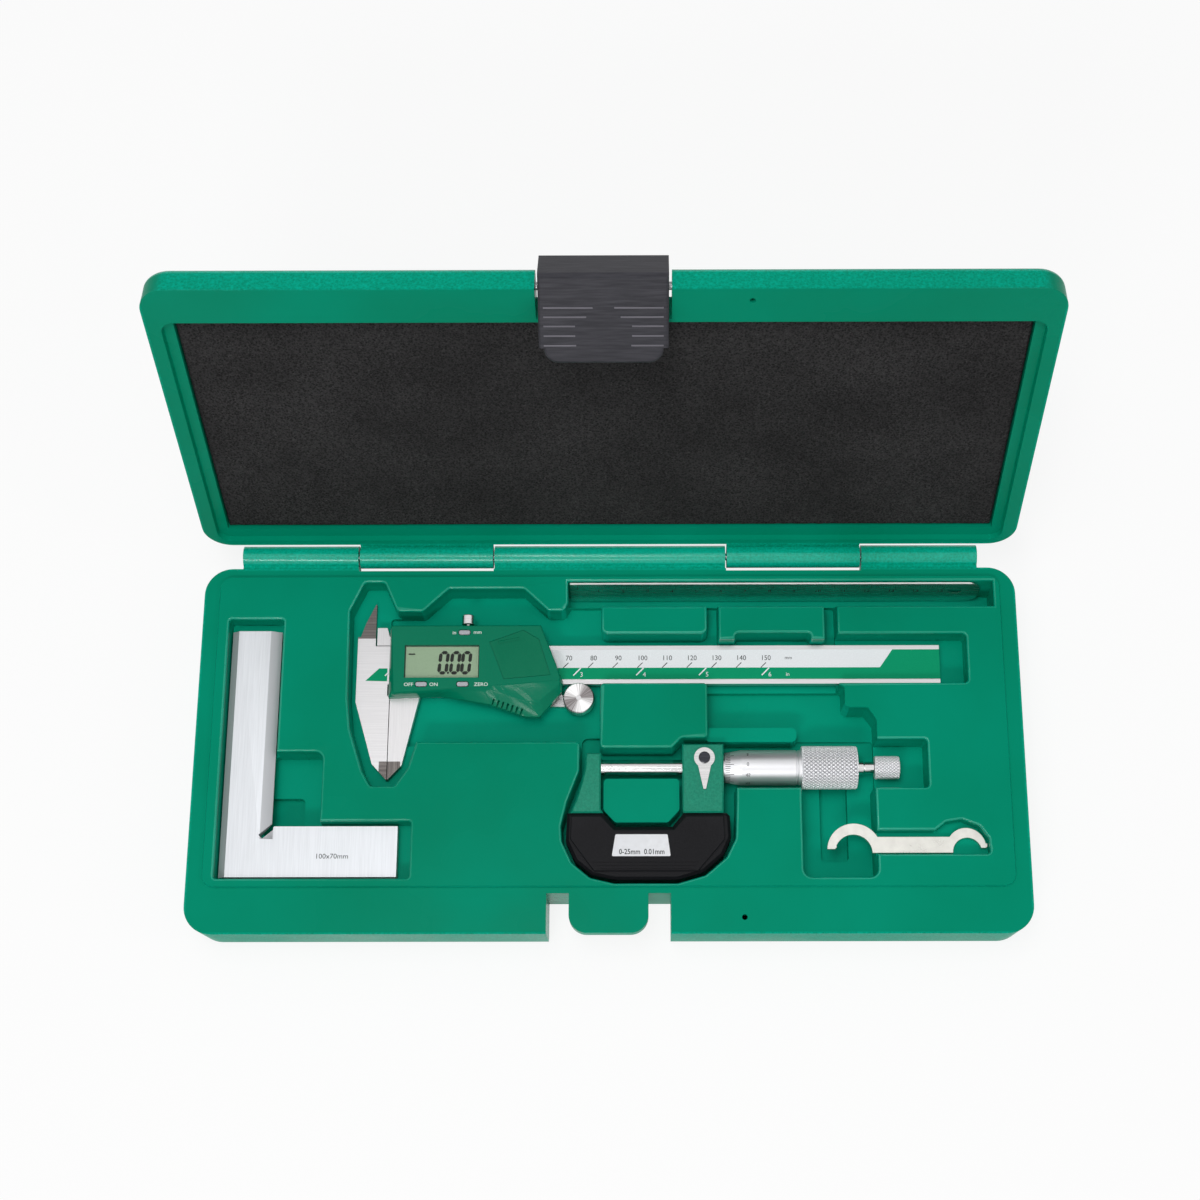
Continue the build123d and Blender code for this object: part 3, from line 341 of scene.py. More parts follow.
def drawn_metal_group():
    """Fine straight scratches, a noise squeezed hard across one direction, and a broad cloud, each 0 to 1."""
    group, entry, leave = group_with("drawn_metal", [("Stretch", "NodeSocketVector")], ["Streaks", "Cloud"])
    scaled = group.nodes.new("ShaderNodeVectorMath")
    scaled.operation = "MULTIPLY"
    link(group, entry["Vector"], scaled.inputs[0])
    link(group, entry["Stretch"], scaled.inputs[1])
    link(group, noise(group, scaled.outputs[0], 1.0, 4.0), leave["Streaks"])
    link(group, noise(group, entry["Vector"], 45.0, 3.0), leave["Cloud"])
    return group


def edge_wear_group():
    """Rubbed edges: where the surface bends outward, broken up by noise, from 0 to 1."""
    limits = [("Start", "NodeSocketFloat"), ("End", "NodeSocketFloat")]
    group, entry, leave = group_with("edge_wear", limits, ["Mask"])
    geometry = group.nodes.new("ShaderNodeNewGeometry")
    broken = noise(group, entry["Vector"], 260.0, 5.0)
    ramp = group.nodes.new("ShaderNodeMapRange")
    link(group, geometry.outputs["Pointiness"], ramp.inputs["Value"])
    link(group, entry["Start"], ramp.inputs["From Min"])
    link(group, entry["End"], ramp.inputs["From Max"])
    link(group, math_node(group, "MULTIPLY", ramp.outputs["Result"], broken), leave["Mask"])
    return group


PEBBLE = pebble_grain_group()
DRAWN = drawn_metal_group()
WEAR = edge_wear_group()


def place_group(tree, group, **values):
    """A group's outputs in a material, where it reads Object coordinates and has its own values."""
    node = tree.nodes.new("ShaderNodeGroup")
    node.node_tree = group
    link(tree, object_place(tree), node.inputs["Vector"])
    for socket, value in values.items():
        node.inputs[socket].default_value = value
    return node.outputs


def two_tone(tree, factor, dark, light):
    """A colour between two, given as numbers or as sockets, by a factor from 0 to 1."""
    mix = tree.nodes.new("ShaderNodeMix")
    mix.data_type = "RGBA"
    for socket, colour in ((mix.inputs[6], dark), (mix.inputs[7], light)):
        if isinstance(colour, tuple):
            socket.default_value = (*colour, 1.0)
        else:
            link(tree, colour, socket)
    link(tree, factor, mix.inputs["Factor"])
    return mix.outputs[2]


def bump(tree, shader, height, strength, distance):
    """A height felt through the shader's normal."""
    node = tree.nodes.new("ShaderNodeBump")
    node.inputs["Strength"].default_value = strength
    node.inputs["Distance"].default_value = distance
    link(tree, height, node.inputs["Height"])
    link(tree, node.outputs["Normal"], shader.inputs["Normal"])


def shade(tree, shader, factor, dark, light):
    """The base colour between two, by a factor."""
    link(tree, two_tone(tree, factor, dark, light), shader.inputs["Base Color"])


def roughen(tree, shader, value, low, high):
    """The roughness between two, by a noise."""
    link(tree, from_noise(tree, value, low, high), shader.inputs["Roughness"])


def hue(red, green, blue):
    """A display colour of 0 to 255 as the linear colour that shows it."""
    c = np.array([red, green, blue]) / 255.0
    return tuple(float(v) for v in np.where(c <= 0.04045, c / 12.92, ((c + 0.055) / 1.055) ** 2.4))


def toned(colour, gain, lift=0.0):
    """A colour times a gain, with a little light added, held at white."""
    return tuple(min(1.0, c * gain + lift) for c in colour)


# ---- the case's plastic
# where the outer skin starts and where it is whole: to the sides, to front and back, and off the rim's plane
SKIN_SIDE = (164.0 * MM, 164.8 * MM)
SKIN_FRONT = (73.2 * MM, 74.0 * MM)
SKIN_UNDER_BASE = (26.2 * MM, 27.6 * MM)
SKIN_OVER_LID = (9.2 * MM, 10.4 * MM)
# the base's lip band over the rim's plane, glossy and given a painted highlight, and the depths over which
# painted light makes the tray's pocket floors paler
LIP_START = (0.2 * MM, 0.4 * MM)
LIP_END = (1.35 * MM, 1.45 * MM)
TRAY_DEPTHS = (-1.0 * MM, -5.0 * MM)
FLOOR_PAINTED_LIGHT = 0.28
# how far the grain, the haze and the painted highlight on a glossy edge lift the tone, and what the roughness
# is made of
GRAIN_TONE = 0.75
HAZE_TONE = 0.22
EDGE_HIGHLIGHT_TONE = 0.35
CASE_ROUGHNESS = 0.2
SKIN_ROUGHNESS = 0.08


def outer_skin(tree, place, turn):
    """The height over the rim, and a mask that is 1 on the outer skin, both read with the lid closed."""
    back = tree.nodes.new("ShaderNodeMapping")
    hinge = Vector((0.0, HINGE_Y * MM, HINGE_Z * MM))
    back.inputs["Rotation"].default_value = (-turn, 0.0, 0.0)
    back.inputs["Location"].default_value = hinge - Matrix.Rotation(-turn, 3, "X") @ hinge
    link(tree, place, back.inputs["Vector"])
    x, y, z = axes(tree, back.outputs["Vector"])
    side = math_node(tree, "ABSOLUTE", x)
    depth = math_node(tree, "ABSOLUTE", y)
    out_side = spread(tree, side, *SKIN_SIDE)
    out_front = spread(tree, depth, *SKIN_FRONT)
    height = math_node(tree, "SUBTRACT", z, RIM * MM)
    away = math_node(tree, "ABSOLUTE", height)
    out_flat = spread(tree, away, *(SKIN_OVER_LID if turn else SKIN_UNDER_BASE))
    return height, math_node(tree, "MAXIMUM", math_node(tree, "MAXIMUM", out_side, out_front), out_flat)


def moulded_case(name, turn):
    """Case plastic: satin inside the rim, glossy on its edges with a painted highlight there, and pebbled on
    the outer skin; on the base, painted light makes the pocket floors paler with depth.
    turn is the angle that the shell has been turned about the hinge, 0 for the base."""
    material, tree, shader = new_material(name, hue(0, 133, 101), 0.36, specular=0.04)
    shader.inputs["Coat Roughness"].default_value = 0.2
    place = object_place(tree)
    height, skin = outer_skin(tree, place, turn)
    grain = place_group(tree, PEBBLE, Scale=1150.0)
    grained = math_node(tree, "MULTIPLY", grain["Height"], skin)
    rounded = attribute(tree, "edge_band")
    # the base's lip band over the rim's plane counts as a rounding: glossy, and given the painted highlight
    # below
    if not turn:
        over_start = spread(tree, height, *LIP_START)
        under_end = spread(tree, height, *LIP_END, 1.0, 0.0)
        rounded = math_node(tree, "MAXIMUM", rounded, math_node(tree, "MULTIPLY", over_start, under_end))
    tone = math_node(tree, "MULTIPLY", grain["Shade"], skin)
    haze = noise(tree, place, 14.0, 4.0)
    hazed = from_noise(tree, haze, 0.0, HAZE_TONE)
    lifted = math_node(tree, "ADD", math_node(tree, "MULTIPLY", tone, GRAIN_TONE), hazed)
    # painted light: the base's tray is made paler with depth below the rim, so its pocket floors, which lie
    # in shade, show as pale as the field
    if not turn:
        painted_floor_light = spread(tree, height, *TRAY_DEPTHS, 0.0, FLOOR_PAINTED_LIGHT)
        inner = math_node(tree, "SUBTRACT", 1.0, skin)
        lifted = math_node(tree, "ADD", lifted, math_node(tree, "MULTIPLY", painted_floor_light, inner))
    patchy = spread(tree, haze, 0.35, 0.65, 0.35, 0.9)
    gloss_and_highlight = math_node(tree, "MULTIPLY", rounded, patchy)
    link(tree, gloss_and_highlight, shader.inputs["Coat Weight"])
    # painted highlight: the base colour is made paler on the glossy roundings and the lip band
    tone_with_painted_light = math_node(tree, "ADD", lifted, math_node(tree, "MULTIPLY", gloss_and_highlight, EDGE_HIGHLIGHT_TONE))
    shade(tree, shader, tone_with_painted_light, hue(0, 130, 98), hue(4, 178, 150))
    rough = math_node(tree, "ADD", math_node(tree, "MULTIPLY", skin, SKIN_ROUGHNESS), hazed)
    link(tree, math_node(tree, "ADD", rough, CASE_ROUGHNESS), shader.inputs["Roughness"])
    bump(tree, shader, grained, strength=0.55, distance=0.00022)
    return material


# ---- metals
# how many streaks a metre, along X, Y and Z
ALONG_X = (40.0, 2600.0, 2600.0)
ALONG_Y = (2600.0, 60.0, 2600.0)
EVEN = (900.0, 900.0, 900.0)


def metal(name, colour, roughness, stretch=ALONG_X, contrast=0.12):
    """Steel or plated metal with fine drawn streaks and a faint cloud of handling marks."""
    material, tree, shader = new_material(name, colour, roughness, metallic=1.0)
    drawn = place_group(tree, DRAWN, Stretch=stretch)
    streaks = from_noise(tree, drawn["Streaks"])
    shade(tree, shader, streaks, toned(colour, 1.0 - contrast), toned(colour, 1.0 + contrast * 0.5))
    smear = from_noise(tree, drawn["Cloud"], -0.05, 0.06)
    streak = from_noise(tree, drawn["Streaks"], -0.04, 0.05)
    total = math_node(tree, "ADD", math_node(tree, "ADD", smear, streak), roughness)
    link(tree, total, shader.inputs["Roughness"])
    bump(tree, shader, drawn["Streaks"], strength=0.12, distance=0.00003)
    return material


def knurled_chrome():
    """Satin chrome whose knurl is darker down in its grooves: darker where the groove attribute is high."""
    material, tree, shader = new_material("knurled_chrome", (0.88, 0.88, 0.90), 0.42, metallic=0.8)
    cut = attribute(tree, "groove")
    shade(tree, shader, spread(tree, cut, 0.3, 0.95), (0.9, 0.9, 0.92), (0.36, 0.36, 0.38))
    roughen(tree, shader, place_group(tree, DRAWN, Stretch=EVEN)["Cloud"], 0.36, 0.48)
    return material


def ground_steel(name, colour, roughness, top, bevel_tone):
    """Ground steel whose bevels and sides, which lie below the top face, are a plain darker grey."""
    material, tree, shader = new_material(name, colour, roughness, metallic=1.0)
    drawn = place_group(tree, DRAWN, Stretch=ALONG_Y)
    height = axes(tree, object_place(tree))["Z"]
    below = spread(tree, height, (top - 0.12) * MM, (top - 0.04) * MM, 1.0, 0.0)
    streaks = from_noise(tree, drawn["Streaks"], 0.0, 0.25)
    shade(tree, shader, math_node(tree, "MAXIMUM", below, streaks), colour, bevel_tone)
    roughen(tree, shader, drawn["Streaks"], roughness - 0.04, roughness + 0.05)
    link(tree, spread(tree, below, 0.0, 1.0, 1.0, 0.35), shader.inputs["Metallic"])
    return material


def leaning_rule_steel():
    """The rule's satin steel, with a painted highlight along its top edge: a pale, non-metallic strip."""
    colour = (0.72, 0.72, 0.71)
    material, tree, shader = new_material("rule_dark_satin", colour, 0.24, metallic=1.0)
    drawn = place_group(tree, DRAWN, Stretch=ALONG_X)
    height = axes(tree, object_place(tree))["Z"]
    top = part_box("steel_rule")[1][2]
    # painted highlight: a pale, non-metallic strip along the rule's top edge
    edge = spread(tree, height, top - 0.45 * MM, top - 0.35 * MM)
    shade(tree, shader, edge, colour, (0.92, 0.90, 0.89))
    link(tree, math_node(tree, "SUBTRACT", 1.0, edge), shader.inputs["Metallic"])
    roughen(tree, shader, drawn["Streaks"], 0.2, 0.3)
    return material


# the jaws' ground tips: the lower pair's middle, half-width and back edge, and the upper fixed one's front
# and right edges
TIP_CENTRE_X = -87.75 * MM
TIP_HALF = 4.25 * MM
LOWER_TIP_Y = -5.0 * MM
UPPER_TIP_Y = 45.9 * MM
UPPER_TIP_RIGHT = -94.6 * MM
TIP_FADE = 0.1 * MM


def jaw_steel(name, roughness, stretch):
    """Satin steel whose jaw tips are ground thinner and look dark."""
    colour = (0.70, 0.69, 0.70)
    material, tree, shader = new_material(name, colour, roughness, metallic=1.0)
    drawn = place_group(tree, DRAWN, Stretch=stretch)
    x, y = axes(tree, object_place(tree))[:2]
    lower = spread(tree, y, LOWER_TIP_Y, LOWER_TIP_Y - TIP_FADE)
    from_middle = math_node(tree, "ABSOLUTE", math_node(tree, "SUBTRACT", x, TIP_CENTRE_X))
    inside = spread(tree, from_middle, TIP_HALF, TIP_HALF + TIP_FADE, 1.0, 0.0)
    behind = spread(tree, y, UPPER_TIP_Y, UPPER_TIP_Y + TIP_FADE)
    fixed = spread(tree, x, UPPER_TIP_RIGHT, UPPER_TIP_RIGHT + TIP_FADE / 2, 1.0, 0.0)
    upper = math_node(tree, "MULTIPLY", behind, fixed)
    tips = math_node(tree, "MAXIMUM", math_node(tree, "MULTIPLY", lower, inside), upper)
    streaks = from_noise(tree, drawn["Streaks"])
    plain = two_tone(tree, streaks, toned(colour, 0.92), toned(colour, 1.04))
    ground = two_tone(tree, streaks, hue(88, 83, 82), hue(132, 126, 123))
    shade(tree, shader, tips, plain, ground)
    roughen(tree, shader, drawn["Streaks"], roughness - 0.04, roughness + 0.05)
    bump(tree, shader, drawn["Streaks"], strength=0.12, distance=0.00003)
    return material


def turned_face_steel(name, centre):
    """A lathe-turned end face, with a painted reflection: the two bright wedges that its rings would reflect
    across the middle. The tone follows the sine of twice the angle round the centre, made ragged by a noise
    along that angle."""
    material, tree, shader = new_material(name, (0.62, 0.60, 0.60), 0.3, metallic=1.0)
    shift = tree.nodes.new("ShaderNodeMapping")
    shift.inputs["Location"].default_value = (-centre[0] * MM, -centre[1] * MM, 0.0)
    link(tree, object_place(tree), shift.inputs["Vector"])
    x, y = axes(tree, shift.outputs["Vector"])[:2]
    angle = math_node(tree, "ARCTAN2", y, x)
    # painted reflection: two bright wedges across the face, set by the angle round the centre
    wedge = math_node(tree, "SINE", math_node(tree, "MULTIPLY_ADD", angle, 2.0, 0.5))
    fine = tree.nodes.new("ShaderNodeTexNoise")
    fine.noise_dimensions = "1D"
    fine.inputs["Scale"].default_value = 9.0
    link(tree, angle, fine.inputs["W"])
    painted_reflection = math_node(tree, "ADD", wedge, from_noise(tree, fine.outputs["Fac"], -0.5, 0.5))
    shade(tree, shader, spread(tree, painted_reflection, -0.9, 0.9, 1.0, 0.0), (0.22, 0.20, 0.20), (0.95, 0.94, 0.94))
    return material


# ---- plastics, paints, foam and glass
def ribbed_latch_plastic():
    """The latch's dark plastic, with a painted highlight that makes the tops of its raised ribs paler, and
    streaked along them.
    """
    material, tree, shader = new_material("latch_dark_grey", hue(52, 52, 58), 0.4, specular=0.15)
    face = Vector((0.0, -math.sin(LATCH_FACE_TILT), math.cos(LATCH_FACE_TILT)))
    highest = max(face.dot(vertex.co) for vertex in nodes["latch"].data.vertices)
    height = tree.nodes.new("ShaderNodeVectorMath")
    height.operation = "DOT_PRODUCT"
    height.inputs[1].default_value = face
    link(tree, object_place(tree), height.inputs[0])
    # painted highlight: the tops of the raised ribs are made paler
    rib_highlight = spread(tree, height.outputs["Value"], highest - 0.2 * MM, highest - 0.1 * MM, 0.0, 0.6)
    drawn = place_group(tree, DRAWN, Stretch=(90.0, 1100.0, 1100.0))
    grain = place_group(tree, PEBBLE, Scale=1300.0)
    streaks = spread(tree, drawn["Streaks"], 0.35, 0.75, 0.0, 0.14)
    shade(tree, shader, math_node(tree, "ADD", rib_highlight, streaks), hue(47, 47, 52), hue(124, 122, 130))
    bump(tree, shader, grain["Height"], strength=0.4, distance=0.00008)
    return material


def plain_plastic(name, colour, roughness, scale=1500.0, depth=0.00004, lift=1.25, gloss=0.15):
    """Moulded plastic with a fine grain and slightly paler rubbed edges."""
    material, tree, shader = new_material(name, colour, roughness, specular=gloss)
    grain = place_group(tree, PEBBLE, Scale=scale)
    wear = place_group(tree, WEAR, Start=0.54, End=0.64)
    factor = math_node(tree, "ADD", math_node(tree, "MULTIPLY", grain["Shade"], 0.5), wear["Mask"])
    shade(tree, shader, factor, colour, toned(colour, lift, 0.004))
    rough = spread(tree, grain["Height"], 0.2, 0.9, roughness - 0.05, roughness + 0.08)
    link(tree, rough, shader.inputs["Roughness"])
    bump(tree, shader, grain["Height"], strength=0.4, distance=depth)
    return material


def ink(name, colour, roughness=0.45):
    """Printing ink, a little uneven."""
    material, tree, shader = new_material(name, colour, roughness, specular=0.1)
    grain = place_group(tree, PEBBLE, Scale=2600.0)
    shade(tree, shader, grain["Shade"], colour, toned(colour, 1.12, 0.003))
    return material


def enamel(name, colour):
    """Baked enamel on a casting: glossy, faintly orange-peeled and hammered."""
    material, tree, shader = new_material(name, colour, 0.28, specular=0.25)
    grain = place_group(tree, PEBBLE, Scale=1300.0)
    shade(tree, shader, grain["Shade"], colour, toned(colour, 1.35, 0.01))
    bump(tree, shader, grain["Height"], strength=0.5, distance=0.00012)
    return material


def speckled_foam():
    """Cut polyethylene foam: near black with open cells of many sizes and pale flecks."""
    material, tree, shader = new_material("lid_foam_black", hue(30, 30, 30), 0.95, specular=0.12)
    place = object_place(tree)
    cells = tree.nodes.new("ShaderNodeTexVoronoi")
    cells.inputs["Scale"].default_value = 1050.0
    link(tree, place, cells.inputs["Vector"])
    flecks = noise(tree, place, 1500.0, 6.0, 0.75)
    broad = noise(tree, place, 30.0)
    pit = spread(tree, cells.outputs["Distance"], 0.1, 0.7)
    spark = spread(tree, flecks, 0.5, 0.72)
    specks = math_node(tree, "ADD", math_node(tree, "MULTIPLY", pit, 0.35), spark)
    cloudy = math_node(tree, "MULTIPLY", specks, from_noise(tree, broad, 0.7, 1.25))
    shade(tree, shader, cloudy, hue(8, 7, 8), hue(92, 90, 91))
    bump(tree, shader, cloudy, strength=0.9, distance=0.0005)
    return material


def clear_window():
    """The display's clear cover: a thin gloss that lets the film's colour and figures through."""
    material, tree, shader = new_material("display_window", (0.30, 0.34, 0.30), 0.06, specular=0.3)
    shader.inputs["Alpha"].default_value = 0.06
    roughen(tree, shader, noise(tree, object_place(tree), 300.0), 0.03, 0.09)
    return material


# ---- every node's finish
GREEN_MOULDING = {"depth": 0.00001, "lift": 1.08, "gloss": 0.1}
CASE_BASE = moulded_case("case_green_base", 0.0)
CASE_LID = moulded_case("case_green_lid", LID_OPEN)
LATCH_PLASTIC = ribbed_latch_plastic()
PIN_STEEL = metal("pin_steel", (0.55, 0.55, 0.56), 0.35)
GROUND_STEEL = ground_steel("square_ground_steel", (0.70, 0.72, 0.75), 0.42, SQUARE_TOP, (0.46, 0.47, 0.49))
SATIN_STEEL = jaw_steel("caliper_satin_steel", 0.38, ALONG_Y)
BEAM_STEEL = jaw_steel("beam_satin_steel", 0.34, ALONG_X)
RULE_STEEL = leaning_rule_steel()
BRIGHT_STEEL = metal("bright_plated_steel", (0.72, 0.71, 0.71), 0.16)
SPANNER_STEEL = metal("spanner_nickel", (0.74, 0.73, 0.68), 0.32, (300.0, 300.0, 300.0), 0.08)
SATIN_CHROME = metal("satin_chrome", (0.63, 0.63, 0.65), 0.34, EVEN, 0.06)
KNURLED_CHROME = knurled_chrome()
ROLLER_STEEL = turned_face_steel("roller_turned_steel", (-12.4, 20.4))
HOUSING_GREEN = plain_plastic("caliper_housing_green", hue(0, 118, 87), 0.16, **GREEN_MOULDING)
COVER_GREEN = plain_plastic("battery_cover_green", hue(0, 112, 80), 0.16, **GREEN_MOULDING)
BUTTON_GREY = plain_plastic("button_grey", hue(172, 174, 180), 0.4, depth=0.00002)
BLACK_PLASTIC = plain_plastic(
    "insulating_black", hue(15, 15, 18), 0.36, scale=1700.0, depth=0.00008, lift=1.8, gloss=0.12
)
FRAME_ENAMEL = enamel("micrometer_green_enamel", hue(0, 122, 96))
SCREW_BLACK = metal("blackened_screw", (0.05, 0.05, 0.06), 0.3)
LABEL_FOIL = metal("label_foil", (0.60, 0.61, 0.63), 0.4, (500.0, 500.0, 500.0), 0.06)
BOARD_GREEN = ink("board_coat", hue(20, 80, 45))
LCD_FILM = ink("display_film", hue(156, 181, 150), 0.3)
WHITE_INK = ink("white_ink", hue(232, 235, 238))
GREEN_INK = ink("green_ink", hue(0, 146, 102))
BLACK_INK = ink("black_ink", hue(40, 46, 44))
PALE_INK = ink("pale_label_ink", hue(214, 226, 220))
LCD_INK = ink("display_digits", hue(4, 8, 4))
FOAM = speckled_foam()
WINDOW = clear_window()

NODE_FINISH = {
    "base_shell": CASE_BASE,
    "lid_shell": CASE_LID,
    "lid_foam": FOAM,
    "hinge_pin_left": PIN_STEEL,
    "hinge_pin_right": PIN_STEEL,
    "latch": LATCH_PLASTIC,
    "latch_pin": PIN_STEEL,
    "bevelled_square": GROUND_STEEL,
    "steel_rule": RULE_STEEL,
    "hook_spanner": SPANNER_STEEL,
    "caliper_beam": BEAM_STEEL,
    "beam_scale": BEAM_STEEL,
    "caliper_slider": SATIN_STEEL,
    "slider_housing": HOUSING_GREEN,
    "circuit_board": BOARD_GREEN,
    "lcd_display": LCD_FILM,
    "lcd_window": WINDOW,
    "coin_cell": BRIGHT_STEEL,
    "battery_cover": COVER_GREEN,
    "unit_button": BUTTON_GREY,
    "power_button": BUTTON_GREY,
    "zero_button": BUTTON_GREY,
    "clamp_screw": BRIGHT_STEEL,
    "thumb_roller": ROLLER_STEEL,
    "roller_axle": SATIN_STEEL,
    "depth_rod": BRIGHT_STEEL,
    "micrometer_frame": FRAME_ENAMEL,
    "anvil": BRIGHT_STEEL,
    "cover_front": BLACK_PLASTIC,
    "cover_back": BLACK_PLASTIC,
    "range_label": LABEL_FOIL,
    "sleeve": SATIN_CHROME,
    "spindle": BRIGHT_STEEL,
    "thimble": SATIN_CHROME,
    "ratchet_neck": BRIGHT_STEEL,
    "ratchet_knob": BRIGHT_STEEL,
    "lock_lever": BRIGHT_STEEL,
    "lock_screw": SCREW_BLACK,
}
for node_name, finish in NODE_FINISH.items():
    piece = nodes[node_name]
    piece.data.materials.clear()
    piece.data.materials.append(finish)

SKINNED = (
    "base_shell",
    "lid_shell",
    "latch",
    "slider_housing",
    "battery_cover",
    "bevelled_square",
    "cover_front",
    "cover_back",
    "micrometer_frame",
    "caliper_beam",
    "caliper_slider",
    "hook_spanner",
    "lock_lever",
    "thumb_roller",
)
body_of = {node: body for body, members in frame["record"]["behaviour"]["bodies"].items() for node in members}
for node_name in SKINNED:
    joined_skin(node_name, body_of[node_name], NODE_FINISH[node_name])

# ---- caliper: printed scale
BAND_LEFT = -88.6
WHITE_FRONT = 33.4
SCALE_FRONT = 28.6
SCALE_BACK = 40.9
SCALE_RIGHT = 133.6
WHITE_END = [(109.4, WHITE_FRONT), (114.6, SCALE_BACK)]
INCH = 25.4
MM_MARK = 2.1
MM_MARK_WIDTH = 0.32
MM_LINE = 37.5
INCH_MARK_FRONT = 30.2
INCH_MARK_WIDTH = 0.5
INCH_LINE = 30.6
NUMBER_STRETCH = 0.95
MARK_LOW = SCALE_TOP + PRINT_RISE
MARK_HIGH = SCALE_TOP + 2 * PRINT_RISE

white_band = [(BAND_LEFT, WHITE_FRONT), *WHITE_END, (BAND_LEFT, SCALE_BACK)]
green_band = [
    (BAND_LEFT, SCALE_FRONT),
    (SCALE_RIGHT, SCALE_FRONT),
    (SCALE_RIGHT, SCALE_BACK),
    *WHITE_END[::-1],
    (BAND_LEFT, WHITE_FRONT),
]
mesh_piece("beam_white_band", *printed(white_band, SCALE_TOP), "caliper", WHITE_INK, "scale_print")
mesh_piece("beam_green_band", *printed(green_band, SCALE_TOP), "caliper", GREEN_INK, "scale_print")

mm_marks = []
mm_numbers = []
for tens in range(0, 151, 10):
    place = CALIPER_ZERO + tens
    ends = (place - MM_MARK, WHITE_FRONT), (place, WHITE_FRONT + MM_MARK)
    mm_marks.append(bar(*ends, MM_MARK_WIDTH, MARK_LOW, MARK_HIGH))
    mm_numbers.append(lettering(str(tens), 2.1, (place + 0.2, MM_LINE), MARK_HIGH, NUMBER_STRETCH))
mm_numbers.append(lettering("mm", 1.5, (72.4, 37.3), MARK_HIGH, NUMBER_STRETCH))
mesh_piece("beam_mm_marks", *joined(mm_marks), "caliper", BLACK_INK, "scale_print")
mesh_piece("beam_mm_numbers", *joined(mm_numbers), "caliper", BLACK_INK, "scale_print")
inch_marks = []
inch_numbers = []
for inches in range(0, 7):
    place = CALIPER_ZERO + INCH * inches
    ends = (place - 4.2, INCH_MARK_FRONT), (place - 1.2, WHITE_FRONT - 0.1)
    inch_marks.append(bar(*ends, INCH_MARK_WIDTH, MARK_LOW, MARK_HIGH))
    inch_numbers.append(lettering(str(inches), 2.0, (place - 0.9, INCH_LINE), MARK_HIGH, NUMBER_STRETCH))
inch_numbers.append(lettering("in", 1.6, (72.0, INCH_LINE), MARK_HIGH, NUMBER_STRETCH))
mesh_piece("beam_inch_marks", *joined(inch_marks), "caliper", WHITE_INK, "scale_print")
mesh_piece("beam_inch_numbers", *joined(inch_numbers), "caliper", WHITE_INK, "scale_print")

jaw_wedge = [(-98.8, 28.2), (-90.0, 28.0), (-90.0, WHITE_FRONT), (-93.4, WHITE_FRONT)]
mesh_piece("jaw_green_wedge", *printed(jaw_wedge, JAW_TOP), "caliper", GREEN_INK, "scale_print")

# ---- caliper: display figures and the housing's words
DISPLAY_LOW = RIM + 0.9
FIGURE_LEFTS = (-68.6, -63.9, -59.5)
FIGURE_FRONT = 29.9
FIGURE_WIDTH = 2.9
FIGURE_HEIGHT = 8.4
FIGURE_LEAN = 0.09
STROKE = 1.4
STROKE_GAP = 0.14


def segment_nought(left):
    """A seven-segment 0, leaning a little to the right: each of its six lit bars is a six-sided strip."""
    corners = [(0, 1), (1, 1), (1, 0.5), (1, 0), (0, 0), (0, 0.5), (0, 1)]
    size = np.array([FIGURE_WIDTH, FIGURE_HEIGHT])
    strips = []
    for start, end in ((0, 1), (1, 2), (2, 3), (4, 3), (5, 4), (6, 5)):
        a, b = np.array(corners[start]) * size, np.array(corners[end]) * size
        along, side = directions(a, b)
        side = side * STROKE / 2
        tip = along * STROKE / 2
        a = a + along * STROKE_GAP
        b = b - along * STROKE_GAP
        outline = np.array([a, a + tip - side, b - tip - side, b, b - tip + side, a + tip + side])
        outline[:, 0] += outline[:, 1] * FIGURE_LEAN
        strips.append(printed(outline + np.array([left, FIGURE_FRONT]), DISPLAY_LOW))
    return strips


figures = []
for left in FIGURE_LEFTS:
    figures += segment_nought(left)
decimal_point = [(-65.3, 29.5), (-64.5, 29.5), (-64.4, 30.4), (-65.2, 30.4)]
minus_sign = [(-80.9, 37.4), (-78.3, 37.4), (-78.3, 38.0), (-80.9, 38.0)]
figures += [printed(decimal_point, DISPLAY_LOW), printed(minus_sign, DISPLAY_LOW)]
mesh_piece("display_figures", *joined(figures), "caliper_slider", LCD_INK, "lcd")

WORD_SIZE = 1.44
WORDS_BACK = 46.3
WORDS_FRONT = 24.8
face_words = [
    lettering(text, WORD_SIZE, (x, y), HOUSING_TOP + PRINT_RISE, 1.1, bold=0.015)
    for text, x, y in (
        ("in", -62.6, WORDS_BACK),
        ("mm", -53.2, WORDS_BACK),
        ("OFF", -80.4, WORDS_FRONT),
        ("ON", -70.4, WORDS_FRONT),
        ("ZERO", -51.4, WORDS_FRONT),
    )
]
mesh_piece("housing_words", *joined(face_words), "caliper_slider", PALE_INK, "scale_print")

# ---- micrometer: knurled grip, knob and scales
GRIP_LEFT = 76.5
GRIP_RIGHT = 98.6
GRIP_RADIUS = 8.6
THIMBLE_LEFT = 46.0
THIMBLE_NOSE = 6.5
THIMBLE_RADIUS = 7.0
THIMBLE_END = 98.7
END_FACE_RADIUS = 7.9
RING_GROOVE = (74.2, 74.5, 75.0, 75.3)
RING_GROOVE_DEPTH = 0.25
GRIP_FOOT = 76.4
SLEEVE_RADIUS = 5.2
NOSE_RADIUS = SLEEVE_RADIUS + 0.7
BORE_RADIUS = SLEEVE_RADIUS + 0.3
BORE_FLOOR = GRIP_RIGHT - 10.0
NECK_RADIUS = 3.4
KNOB_RADIUS = 4.6
KNOB_LEFT = 105.6
KNOB_RIGHT = 115.6
KNOB_LIP = 0.1
DISH_RADIUS = 2.6
CAP_RADIUS = 0.02
GROOVE_STEEPNESS = 2.2


